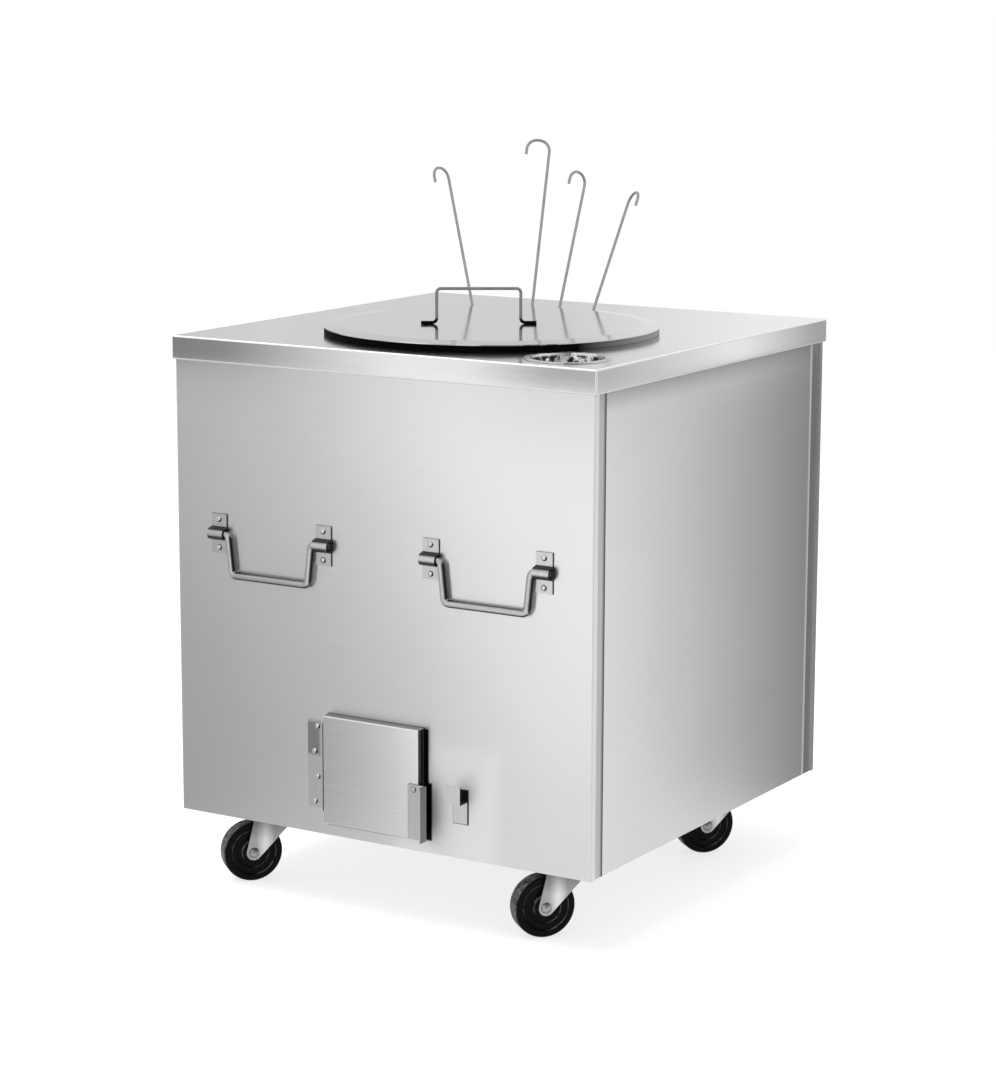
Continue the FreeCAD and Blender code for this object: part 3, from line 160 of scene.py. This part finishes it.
def depth_in_box(tree, low, high):
    """How far a point lies inside each pair of faces of a box: three numbers, below 0 outside."""
    middle = [(a + b) / 2 for a, b in zip(low, high)]
    half = [(b - a) / 2 for a, b in zip(low, high)]
    where = add(tree, "TexCoord").outputs["Object"]
    offset = add(tree, "VectorMath", {"operation": "SUBTRACT", 1: middle}, {0: where})
    reach = add(tree, "VectorMath", {"operation": "ABSOLUTE"}, {0: offset.outputs[0]})
    inside = add(tree, "VectorMath", {"operation": "SUBTRACT", 0: half}, {1: reach.outputs[0]})
    return add(tree, "SeparateXYZ", links={"Vector": inside.outputs[0]}).outputs


def brushed_stainless(name, shades, roughness, across, drag=0):
    """Stainless sheet rubbed one way by an abrasive belt: long hair lines over a cloudy sheen.

    The lines are fine on the axes that run across them. Real ones are about 0.1 mm wide, and these
    are drawn 2 mm wide so that they show from across the room. Level lines drag a reflection up
    and down and leave it sharp from side to side.
    """
    hair_width, cloud_width, groove = 2 * MM, 180 * MM, 0.2 * MM
    squeeze = 0.012  # of the pattern along the lines, which makes them long
    quarter_turn = 0.25
    sockets = {"Metallic": 1, "Anisotropic": drag, "Anisotropic Rotation": quarter_turn}
    material, tree = new_material(name, **sockets)
    where = add(tree, "TexCoord").outputs["Object"]
    if drag:
        level = add(tree, "Tangent", {"direction_type": "RADIAL", "axis": "Z"})
        tree.links.new(level.outputs["Tangent"], tree.nodes[SHADER].inputs["Tangent"])
    stretch = [1 if axis in across else squeeze for axis in "XYZ"]
    lines = add(tree, "Mapping", {"Scale": stretch}, {"Vector": where})
    hairs = {"Scale": 1 / hair_width, "Detail": 3, "Roughness": 0.65}
    hair = add(tree, "TexNoise", hairs, {"Vector": lines.outputs["Vector"]}).outputs["Fac"]
    clouds = {"Scale": 1 / cloud_width, "Detail": 2, "Roughness": 0.5}
    cloud = add(tree, "TexNoise", clouds, {"Vector": where}).outputs["Fac"]
    both = add(tree, "Mix", {FACTOR: 0.35}, {NUMBER_A: hair, NUMBER_B: cloud})
    wear(tree, shades, roughness, both.outputs[MIXED_NUMBER], 0.015, groove)
    return material


def polished_stainless(name, shades, roughness, smear, dent=0.0004):
    """Stainless buffed to a shine: faint wiping marks change its gloss, and dents break up what it
    mirrors. The smears' width and the dents' depth are in mm.
    """
    material, tree = new_material(name, Metallic=1)
    where = add(tree, "TexCoord").outputs["Object"]
    marks = {"Scale": 1 / (smear * MM), "Detail": 4, "Roughness": 0.6, "Distortion": 1.5}
    mark = add(tree, "TexNoise", marks, {"Vector": where}).outputs["Fac"]
    wear(tree, shades, roughness, mark, 0.5, dent * MM)
    return material


def paint_fold_highlights(material, box, width):
    """Paint a pale, matt highlight along a sheet's folds, where two faces of its box meet."""
    tree = material.node_tree
    x, y, z = depth_in_box(tree, *box)
    less = add(tree, "Math", {"operation": "MINIMUM"}, {0: x, 1: y}).outputs[0]
    more = add(tree, "Math", {"operation": "MAXIMUM"}, {0: x, 1: y}).outputs[0]
    other = add(tree, "Math", {"operation": "MINIMUM"}, {0: more, 1: z}).outputs[0]
    second = add(tree, "Math", {"operation": "MAXIMUM"}, {0: less, 1: other}).outputs[0]
    folds = change_finish(tree, second, width, width / 2, "#e8e8e8", 0.6)
    metal = add(tree, "MapRange", {"To Min": 1, "To Max": 0.4}, {"Value": folds})
    tree.links.new(metal.outputs["Result"], tree.nodes[SHADER].inputs["Metallic"])


def paint_shade_under_rim(material):
    """Paint shade on a sheet just below the deck's rim, darker towards the rim."""
    tree = material.node_tree
    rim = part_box("top_pan")[0][2]
    change_finish(tree, along(tree, "Object", Z), rim - 34 * MM, rim, "#a6a6a6", 0.4)


def paint_shadow_round_door(material):
    """Paint a dark shadow line round the door, a little lower than the door itself."""
    tree = material.node_tree
    low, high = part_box("door_pan")
    lowered = low - Vector((0, 0, 4 * MM)), high - Vector((0, 0, 1.5 * MM))
    depth = depth_in_box(tree, *lowered)
    sides = {0: depth["X"], 1: depth["Z"]}
    inside = add(tree, "Math", {"operation": "MINIMUM"}, sides).outputs[0]
    change_finish(tree, inside, -4 * MM, -1 * MM, "#303030", 0.5)


def stain_or_paint_light_and_shade(material, low, high, soft, shade, roughness):
    """Change a finish inside a box given in mm, fading out over a soft edge round it: for real
    stains and for painted light and shade.
    """
    tree = material.node_tree
    corners = [[side * MM for side in corner] for corner in (low, high)]
    x, y, z = depth_in_box(tree, *corners)
    level = add(tree, "Math", {"operation": "MINIMUM"}, {0: x, 1: z}).outputs[0]
    inside = add(tree, "Math", {"operation": "MINIMUM"}, {0: level, 1: y}).outputs[0]
    change_finish(tree, inside, -soft * MM, 0, shade, roughness, "SMOOTHERSTEP")


def bow_sheet(material, middle, radius):
    """Bow a sheet outwards from side to side, as a folded pan does, to steepen what it mirrors."""
    tree = material.node_tree
    shader = tree.nodes[SHADER]
    across = along(tree, "Object", X)
    offset = add(tree, "Math", {"operation": "SUBTRACT", 1: middle}, {0: across}).outputs[0]
    square = add(tree, "Math", {"operation": "MULTIPLY"}, {0: offset, 1: offset}).outputs[0]
    fall = {"operation": "MULTIPLY", 1: -0.5 / radius}
    sag = add(tree, "Math", fall, {0: square}).outputs[0]
    flat = shader.inputs["Normal"].links[0].from_socket
    bow = add(tree, "Bump", {"Strength": 1, "Distance": 1}, {"Height": sag, "Normal": flat})
    tree.links.new(bow.outputs["Normal"], shader.inputs["Normal"])


def paint_shade_in_seam(material):
    """Paint shade on a front post's face, darker towards the seam where the side panel starts."""
    tree = material.node_tree
    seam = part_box("right_side_panel")[0][1]
    depth = along(tree, "Object", Y)
    change_finish(tree, depth, seam - 10 * MM, seam - 2 * MM, "#505050", 0.4)


def paint_shade_by_facing(material, direction, start, end, shade):
    """Paint shade on faces by the way they turn: darker as a face's turn towards a direction goes
    from start to end.
    """
    tree = material.node_tree
    change_finish(tree, along(tree, "Normal", direction), start, end, shade, 0.4)


def drawn_rod():
    """Bright drawn rod, polished all round, with painted shade on its top, underside and right
    side.
    """
    material = polished_stainless("bright_drawn_rod", ("#aaaaaa", "#bebebe"), (0.28, 0.36), 12)
    tree = material.node_tree
    tip = 0.19  # the unshaded front band looks up a little
    right = (0.966, -0.259, 0)
    upward = along(tree, "Normal", Z)
    lean = add(tree, "Math", {"operation": "SUBTRACT", 1: tip}, {0: upward}).outputs[0]
    steep = add(tree, "Math", {"operation": "ABSOLUTE"}, {0: lean}).outputs[0]
    level = add(tree, "MapRange", {"From Min": 0.5, "From Max": 0.8}, {"Value": steep})
    rightward = {"Value": along(tree, "Normal", right)}
    side = add(tree, "MapRange", {"From Min": 0.76, "From Max": 0.92}, rightward)
    either = {0: level.outputs["Result"], 1: side.outputs["Result"]}
    painted_shade_share = add(tree, "Math", {"operation": "MAXIMUM"}, either).outputs[0]
    change_finish(tree, painted_shade_share, 0, 1, "#2c2c2c", 0.4)
    return material


def blackened_wire():
    """Bent wire darkened by hand grease and heat, and black along its feet."""
    shades = ("#7c7c7c", "#989898")
    material = polished_stainless("oil_blackened_wire", shades, (0.2, 0.32), 12)
    tree = material.node_tree
    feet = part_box("lid_handle")[0][2]
    height = along(tree, "Object", Z)
    change_finish(tree, height, feet + 12 * MM, feet + 7 * MM, "#101010", 0.5)
    return material


def cup_with_painted_reflections():
    """Thin spun stainless, mirror bright, with dark reflections painted in patches inside it."""
    shades = ("#d6d6d6", "#dedede")
    material = polished_stainless("mirror_stainless_cup", shades, (0.03, 0.06), 26, dent=2)
    tree = material.node_tree
    where = add(tree, "TexCoord").outputs["Object"]
    # patches of painted dark reflection, inside below the brim
    blots = {"Scale": 1 / (15 * MM), "Detail": 2, "Distortion": 1}
    blot = add(tree, "TexNoise", blots, {"Vector": where}).outputs["Fac"]
    patch = add(tree, "MapRange", {"From Min": 0.58, "From Max": 0.46}, {"Value": blot})
    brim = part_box("drop_in_cup")[1][2]
    below = {"From Min": brim - 2 * MM, "From Max": brim - 5 * MM}
    inside = add(tree, "MapRange", below, {"Value": along(tree, "Object", Z)})
    both = {0: patch.outputs["Result"], 1: inside.outputs["Result"]}
    painted_dark_reflection = add(tree, "Math", {"operation": "MULTIPLY"}, both).outputs[0]
    change_finish(tree, painted_dark_reflection, 0, 1, "#2a2a2a", 0.25)
    return material


def band_with_painted_reflection():
    """Steel strip painted black as a dark reflection: matt, and painted grey towards one end as a
    lighter reflection.
    """
    material, tree = new_material("black_band_painted_reflection", **{"Specular IOR Level": 0.03})
    where = add(tree, "TexCoord").outputs["Object"]
    chips = {"Scale": 1 / (22 * MM), "Detail": 4, "Roughness": 0.6}
    chip = add(tree, "TexNoise", chips, {"Vector": where}).outputs["Fac"]
    wear(tree, ("#020202", "#080808"), (0.5, 0.7), chip, 0.05, 0.2 * MM)
    # the end where the painted reflection turns grey
    pale_reflection_end = (cos(radians(31.5)), sin(radians(31.5)), 0)
    towards_pale_end = along(tree, "Object", pale_reflection_end)
    change_finish(tree, towards_pale_end, 110 * MM, 240 * MM, "#bcbcbc", 0.5)
    return material


def zinc_plate(name, hub):
    """Zinc-plated pressing: a dull bluish grey with faint mottled crystals.

    A bright band beside the hub is a painted highlight, and painted shade darkens it towards the
    plate above.
    """
    material, tree = new_material("zinc_plated_" + name, Metallic=1)
    where = add(tree, "TexCoord").outputs["Object"]
    crystal = add(tree, "TexVoronoi", {"Scale": 1 / (3 * MM)}, {"Vector": where})
    smudges = {"Scale": 1 / (14 * MM), "Detail": 3}
    smudge = add(tree, "TexNoise", smudges, {"Vector": where})
    mottle = {NUMBER_A: crystal.outputs["Distance"], NUMBER_B: smudge.outputs["Fac"]}
    both = add(tree, "Mix", {FACTOR: 0.8}, mottle).outputs[MIXED_NUMBER]
    wear(tree, ("#8c8d8f", "#a4a5a6"), (0.26, 0.36), both, 0.03, 0.1 * MM)
    # painted highlight: a bright band 20 mm past the hub
    highlight_band = {"operation": "SUBTRACT", 1: hub.dot(TRAIL) + 20 * MM}
    offset = add(tree, "Math", highlight_band, {0: along(tree, "Object", TRAIL)}).outputs[0]
    away = add(tree, "Math", {"operation": "ABSOLUTE"}, {0: offset}).outputs[0]
    change_finish(tree, away, 16 * MM, 2 * MM, "#d2d2d2", 0.35)
    # painted shade, darker towards the plate under the cabinet
    change_finish(tree, along(tree, "Object", Z), 72 * MM, 118 * MM, "#4e4c49", 0.4)
    return material


def moulded_rubber():
    """Hard wheel rubber: a deep black with a dull gloss, and grey on its upper tread: scuffs, and a
    painted highlight.
    """
    material, tree = new_material("moulded_rubber", **{"Specular IOR Level": 0.08})
    where = add(tree, "TexCoord").outputs["Object"]
    scuffs = {"Scale": 1 / (9 * MM), "Detail": 5, "Roughness": 0.7}
    scuff = add(tree, "TexNoise", scuffs, {"Vector": where}).outputs["Fac"]
    wear(tree, ("#040404", "#090909"), (0.26, 0.42), scuff, 0.05, 0.2 * MM)
    # the upper tread, where scuffs and a painted highlight turn it grey
    upper_tread = {"Value": along(tree, "Normal", Vector((0, 0, 0.5)) - TRAIL)}
    tread = add(tree, "MapRange", {"From Min": 0.45, "From Max": 0.85}, upper_tread)
    patch = add(tree, "MapRange", {"From Min": 0.36, "From Max": 0.56}, {"Value": scuff})
    both = {0: tread.outputs["Result"], 1: patch.outputs["Result"]}
    rubbed = add(tree, "Math", {"operation": "MULTIPLY"}, both).outputs[0]
    change_finish(tree, rubbed, 0, 1, "#8c8c8c", 0.6)
    return material


def mineral(name, shades, grit, roughness, bump):
    """Fired clay, firebrick, wool or raw iron: a matt, gritty body mottled in two sizes.

    The grit is in mm.
    """
    material, tree = new_material(name)
    where = add(tree, "TexCoord").outputs["Object"]
    grains = {"Scale": 1 / (grit * MM), "Detail": 6, "Roughness": 0.7}
    grain = add(tree, "TexNoise", grains, {"Vector": where}).outputs["Fac"]
    patches = {"Scale": 1 / (90 * MM), "Detail": 3}
    patch = add(tree, "TexNoise", patches, {"Vector": where}).outputs["Fac"]
    both = add(tree, "Mix", {FACTOR: 0.5}, {NUMBER_A: grain, NUMBER_B: patch})
    wear(tree, shades, roughness, both.outputs[MIXED_NUMBER], bump, 1 * MM)
    return material


# Pieces

def dress(material, *names):
    """Give nodes their material."""
    for name in names:
        slots = nodes[name].data.materials
        slots.clear()
        slots.append(material)


def joined_box(*names):
    """The box round several nodes."""
    boxes = [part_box(name) for name in names]
    low = [min(box[0][axis] for box in boxes) for axis in range(3)]
    high = [max(box[1][axis] for box in boxes) for axis in range(3)]
    return low, high


def dress_cabinet():
    low, high = joined_box("front_panel", "rear_panel", "left_side_panel", "right_side_panel")
    low[2] -= 20 * MM  # no painted fold highlight along the lower edges
    rear_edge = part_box("right_side_panel")[1][1]

    # Panels: soft upright bands of light and dark, with fine level lines
    front = brushed_stainless("brushed_stainless_front", across="YZ", **PANEL_FINISH)
    # painted shadow round the door
    paint_shadow_round_door(front)
    # painted highlights along the folds
    paint_fold_highlights(front, (low, high), FOLD)
    # the painted light and shade beside the door and the keeper
    for mark in FRONT_PAINTED_LIGHT_AND_SHADE:
        stain_or_paint_light_and_shade(front, *mark)
    dress(front, "front_panel")
    rear = brushed_stainless("brushed_stainless_across", across="YZ", **PANEL_FINISH)
    # painted highlights along the folds
    paint_fold_highlights(rear, (low, high), FOLD)
    dress(rear, "rear_panel")
    sides = brushed_stainless("brushed_stainless_along", across="XZ", **PANEL_FINISH)
    # painted shade below the rim, and painted highlights along the folds
    paint_shade_under_rim(sides)
    paint_fold_highlights(sides, (low, [high[0], rear_edge, high[2]]), WIDE_FOLD)
    dress(sides, "left_side_panel", "right_side_panel")

    # Deck: a finer belt, so it mirrors the lid and the room
    shades = ("#d0d0d0", "#dadada")
    deck = brushed_stainless("brushed_stainless_deck", shades, (0.12, 0.17), "YZ")
    # painted highlights along the folds
    paint_fold_highlights(deck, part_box("top_pan"), FOLD)
    dress(deck, "top_pan")

    # Front posts: a coarser belt, painted shade below the rim, and a painted shadow strip at the
    # seam beside the fold
    shades = ("#a8a8a8", "#bebebe")
    posts = brushed_stainless("brushed_stainless_post", shades, (0.3, 0.4), "XY")
    paint_shade_under_rim(posts)
    paint_shade_in_seam(posts)
    dress(posts, "post_front_left", "post_front_right")

    # What is seldom seen: sheet as it leaves the mill, an even dull grey
    shades = ("#9a9a9a", "#aaaaaa")
    mill = brushed_stainless("mill_finish_stainless", shades, (0.32, 0.42), "XY")
    dress(mill, "post_rear_left", "post_rear_right", "base_pan", "base_rail_left",
          "base_rail_right", "draft_tunnel", "door_liner", "mouth_ring")


def dress_door():
    low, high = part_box("door_pan")
    free_edges = low - Vector((10 * MM, 0, 10 * MM)), high

    # Door: a brushed pan with painted highlights on its free edges, and painted shade on its right
    # side and top
    shades = ("#cecece", "#d8d8d8")
    door = brushed_stainless("brushed_stainless_door", shades, (0.2, 0.27), "YZ", SHEET_DRAG)
    paint_fold_highlights(door, free_edges, FOLD)
    bow_sheet(door, (low.x + high.x) / 2, radius=0.9)
    paint_shade_by_facing(door, X, 0.5, 0.9, "#606060")
    paint_shade_by_facing(door, Z, 0.5, 0.9, "#969696")
    dress(door, "door_pan")

    # Hinge leaves: narrow upright strips, smoked at the top, with a painted shadow line along the
    # door's edge
    shades = ("#c2c2c2", "#cecece")
    leaf = brushed_stainless("brushed_stainless_leaf", shades, (0.22, 0.3), "XY")
    paint_shadow_round_door(leaf)
    stain_or_paint_light_and_shade(leaf, *LEAF_STAIN)
    dress(leaf, "hinge_leaf_fixed", "hinge_leaf_door")

    # Latch bar and pin: a greyer bar, with painted shade on all but its front
    shades = ("#b4b4b4", "#c4c4c4")
    fittings = brushed_stainless("brushed_stainless_fittings", shades, (0.24, 0.34), "XY")
    paint_shade_by_facing(fittings, (0, -1, 0), 0.8, 0.4, "#8a8a8a")
    dress(fittings, "hinge_pin", "latch_bar")

    # Keeper: as pale as the panel, with painted shade on its right side
    shades = ("#c6c6c6", "#d6d6d6")
    keeper = brushed_stainless("brushed_stainless_keeper", shades, (0.24, 0.34), "XY")
    paint_shade_by_facing(keeper, X, 0.5, 0.9, "#4a4a4a")
    dress(keeper, "keeper_hook")


def dress_lid_and_cup():
    # Lid: buffed almost to a mirror, with broad smears
    lid = polished_stainless("buffed_stainless_lid", ("#cccccc", "#d6d6d6"), (0.07, 0.15), 60)
    dress(lid, "lid_disc")
    dress(band_with_painted_reflection(), "lid_band")
    dress(blackened_wire(), "lid_handle")
    dress(cup_with_painted_reflections(), "drop_in_cup")

    # Skewers: thin drawn wire, mid grey against the white room
    shades = ("#8e8e8e", "#a8a8a8")
    skewers = polished_stainless("drawn_steel_skewer", shades, (0.2, 0.32), 10)
    dress(skewers, "skewer_1", "skewer_2", "skewer_3", "skewer_4")


def dress_handles():
    dress(drawn_rod(), "left_bail", "right_bail", "latch_rivet")

    # Rivets: bright domes with painted shade on their lower right
    rivets = polished_stainless("bright_rivet_steel", ("#cacaca", "#d6d6d6"), (0.12, 0.2), 12)
    paint_shade_by_facing(rivets, (0.85, 0, -0.53), 0.2, 0.55, "#484848")
    dress(rivets, "clip_rivets", "hinge_rivets")

    # Saddle clips: pressed strip, pale on its flats, with painted shade round its saddle
    shades = ("#b8b8b8", "#cacaca")
    strip = polished_stainless("pressed_strip_stainless", shades, (0.3, 0.38), 14)
    paint_shade_by_facing(strip, (0, -0.978, 0.208), 0.965, 0.8, "#424242")
    for side in ("left", "right"):
        dress(strip, side + "_handle_clip_outer", side + "_handle_clip_inner")


def dress_casters():
    rubber = moulded_rubber()
    for corner in CASTERS:
        low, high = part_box("caster_axle_" + corner)
        zinc = zinc_plate(corner, (low + high) / 2)
        dress(zinc, "caster_plate_" + corner, "caster_fork_" + corner, "caster_axle_" + corner)
        dress(rubber, "caster_wheel_" + corner)
    dress(zinc, "caster_bolts")


def dress_hearth():
    # Pot: a warm, matt brown
    clay = mineral("fired_clay", ("#8a5a3c", "#b07a56"), 4, (0.75, 0.95), 0.5)
    dress(clay, "clay_pot")
    # Hearth: a pale, sandy buff
    brick = mineral("firebrick", ("#b49a78", "#cdb793"), 5, (0.8, 0.95), 0.5)
    dress(brick, "hearth_slab")
    # Fill: off-white and fluffy
    wool = mineral("ceramic_fibre_wool", ("#d9d6cc", "#efede6"), 6, (0.9, 1.0), 0.8)
    dress(wool, "insulation_fill")
    # Grate: rough and almost black
    iron = mineral("raw_cast_iron", ("#1f1e1d", "#3a3836"), 3, (0.5, 0.75), 0.5)
    dress(iron, "fire_grate")


# Studio

def turned(azimuth, pitch, roll=0):
    """Where something that looks at the object stands, as a direction, and how it is turned."""
    back = Vector((sin(azimuth) * cos(pitch), -cos(azimuth) * cos(pitch), sin(pitch)))
    right = Vector((cos(azimuth), sin(azimuth), 0))
    up = back.cross(right)
    rolled_right = right * cos(roll) + up * sin(roll)
    rolled_up = up * cos(roll) - right * sin(roll)
    return back, Matrix((rolled_right, rolled_up, back)).transposed().to_euler()


def place_camera():
    data = bpy.data.cameras.new("camera")
    data.lens = LENS
    data.sensor_width = FILM_WIDTH
    camera = bpy.data.objects.new("camera", data)
    back, camera.rotation_euler = turned(AZIMUTH, PITCH, ROLL)
    camera.location = AIM + back * DISTANCE
    scene.collection.objects.link(camera)
    scene.camera = camera


def seen_directly(tree):
    """1 for rays that see the background itself: camera, mirror and glass rays."""
    path = add(tree, "LightPath")
    mirror = {0: path.outputs["Is Camera Ray"], 1: path.outputs["Is Glossy Ray"]}
    first = add(tree, "Math", {"operation": "MAXIMUM"}, mirror)
    glass = {0: first.outputs[0], 1: path.outputs["Is Transmission Ray"]}
    return add(tree, "Math", {"operation": "MAXIMUM"}, glass).outputs[0]


def light_room():
    """A white room all round, which lights the object less than it shows."""
    world = bpy.data.worlds.new("studio")
    tree = empty_tree(world)
    span = {"To Min": ROOM_LIGHT, "To Max": 1.0}
    level = add(tree, "MapRange", span, {"Value": seen_directly(tree)}).outputs["Result"]
    glow = add(tree, "Background", {"Color": linear("#ffffff")}, {"Strength": level})
    add(tree, "OutputWorld", links={"Surface": glow.outputs["Background"]})
    scene.world = world


def lay_floor():
    """A white paper floor: matt, so it keeps the object's shadow, with a glow that whitens it."""
    bpy.ops.mesh.primitive_plane_add(size=FLOOR_SIZE, location=(0, 0, FLOOR_LIFT))
    floor = bpy.context.object
    floor.name = "floor"
    material = bpy.data.materials.new("white_paper")
    tree = empty_tree(material)
    paper = add(tree, "BsdfDiffuse", {"Color": linear("#bcbcbc")})
    dimmed = {"operation": "MULTIPLY", 1: FLOOR_GLOW}
    level = add(tree, "Math", dimmed, {0: seen_directly(tree)})
    glow = add(tree, "Emission", links={"Strength": level.outputs[0]})
    lit = add(tree, "AddShader", links={0: paper.outputs[0], 1: glow.outputs[0]})
    add(tree, "OutputMaterial", links={"Surface": lit.outputs[0]})
    floor.data.materials.append(material)


def set_card(name, place, turn, size, stops, level=1.0, foot=1.0, slant=0):
    """A graded card that only shiny faces see.

    Its shades run across it, on a slant if one is given, and it dims or brightens to its foot.
    """
    bpy.ops.mesh.primitive_plane_add(size=1, location=place, rotation=turn)
    card = bpy.context.object
    card.name = name
    card.scale = (size[0], size[1], 1)
    for rays in ("camera", "diffuse", "transmission", "volume_scatter", "shadow"):
        setattr(card, "visible_" + rays, False)
    material = bpy.data.materials.new(name)
    tree = empty_tree(material)
    where = add(tree, "TexCoord").outputs["UV"]
    side = add(tree, "SeparateXYZ", links={"Vector": where})
    across = {0: side.outputs["Y"], 2: side.outputs["X"]}
    leaning = add(tree, "Math", {"operation": "MULTIPLY_ADD", 1: slant}, across)
    shade = add(tree, "ValToRGB", links={"Fac": leaning.outputs[0]}, stops=stops)
    dim = {"To Min": level * foot, "To Max": level}
    strength = add(tree, "MapRange", dim, {"Value": side.outputs["Y"]})
    lit = {"Color": shade.outputs["Color"], "Strength": strength.outputs["Result"]}
    glow = add(tree, "Emission", links=lit)
    add(tree, "OutputMaterial", links={"Surface": glow.outputs[0]})
    card.data.materials.append(material)


def stand_card(name, azimuth, distance, slide, height, size, stops, roll=0, **light):
    """Stand a card upright, facing the cabinet, and slide it to its right."""
    back, turn = turned(radians(azimuth), 0, radians(roll))
    right = Vector((-back.y, back.x, 0))
    place = back * distance + right * slide + Vector((0, 0, height))
    set_card(name, place, turn, size, stops, **light)


def stand_cards():
    """The cards that give each sheet of steel its bands of light and dark."""
    # Before the front and beyond the right side, for the two panels in the picture
    stand_card("front_card", azimuth=-35, distance=1.2, slide=0.25, height=0.36, size=(1.7, 1.22),
               stops=[(0.4, "#a9a9a9"), (0.64, "#cecece"), (0.8, "#fefefe"), (0.95, "#fbfbfb")],
               level=1.46, foot=0.9, slant=0.26)
    stand_card("side_card", azimuth=150, distance=0.75, slide=-0.33, height=0.34, size=(1.15, 1.18),
               stops=[(0.3, "#fefefe"), (0.5, "#cacaca"), (0.7, "#808080"), (0.94, "#f2f2f2")],
               level=1.13, foot=1.06)
    # Strips at the height of the deck's rim
    stand_card("front_header", azimuth=-35, distance=0.72, slide=0.275, height=0.88,
               size=(0.95, 0.08), roll=-5, level=1.3,
               stops=[(0.05, "#808080"), (0.2, "#909090"), (0.5, "#fafafa"), (0.62, "#f6f6f6"),
                      (0.78, "#a8a8a8")])
    stand_card("side_header", azimuth=150, distance=0.72, slide=-0.335, height=0.865,
               size=(0.6, 0.08), roll=13.4, level=1.3,
               stops=[(0.16, "#b4b4b4"), (0.575, "#f8f8f8"), (0.81, "#ababab")])
    # Behind the cabinet for the deck and the lid, and to its right and left for the rest
    stand_card("back_card", azimuth=211.5, distance=2.0, slide=0, height=1.55, size=(1.8, 1.3),
               stops=[(0.17, "#ffffff"), (0.42, "#e0e0e0")])
    stand_card("right_card", azimuth=57, distance=2.0, slide=0, height=0.5, size=(2.6, 1.6),
               stops=[(0.1, "#8c8c8c"), (0.9, "#f0f0f0")])
    stand_card("left_card", azimuth=-120, distance=2.0, slide=0, height=0.5, size=(2.6, 1.6),
               stops=[(0.1, "#f4f4f4"), (0.9, "#a8a8a8")])
    # On the floor before the front and beside the right panel, for their lower ends
    set_card("sweep_card", place=(-0.3, -1.0, 0.002), turn=(0, 0, 0), size=(1.4, 1.1),
             stops=[(0.12, "#a0a0a0"), (0.7, "#ffffff")])
    set_card("right_ground", place=(0.8, 0.55, 0.002), turn=(0, 0, pi / 2), size=(1.1, 0.7),
             stops=[(0.3, "#fefefe"), (0.9, "#b0b0b0")])


def hang_softbox(name, place, size, watts):
    """A large soft lamp that shines at the cabinet."""
    data = bpy.data.lights.new(name, "AREA")
    data.shape = "RECTANGLE"
    data.size, data.size_y = size
    data.energy = watts
    lamp = bpy.data.objects.new(name, data)
    lamp.location = place
    aim = CABINET_MIDDLE - Vector(place)
    lamp.rotation_euler = aim.to_track_quat("-Z", "Y").to_euler()
    lamp.visible_camera = False
    lamp.visible_glossy = False
    scene.collection.objects.link(lamp)


bpy.ops.object.select_all(action="DESELECT")
dress_cabinet()
dress_door()
dress_lid_and_cup()
dress_handles()
dress_casters()
dress_hearth()
place_camera()
light_room()
lay_floor()
stand_cards()
hang_softbox("top_softbox", place=(-0.6, -0.8, 3.2), size=(2.4, 2.4), watts=110)
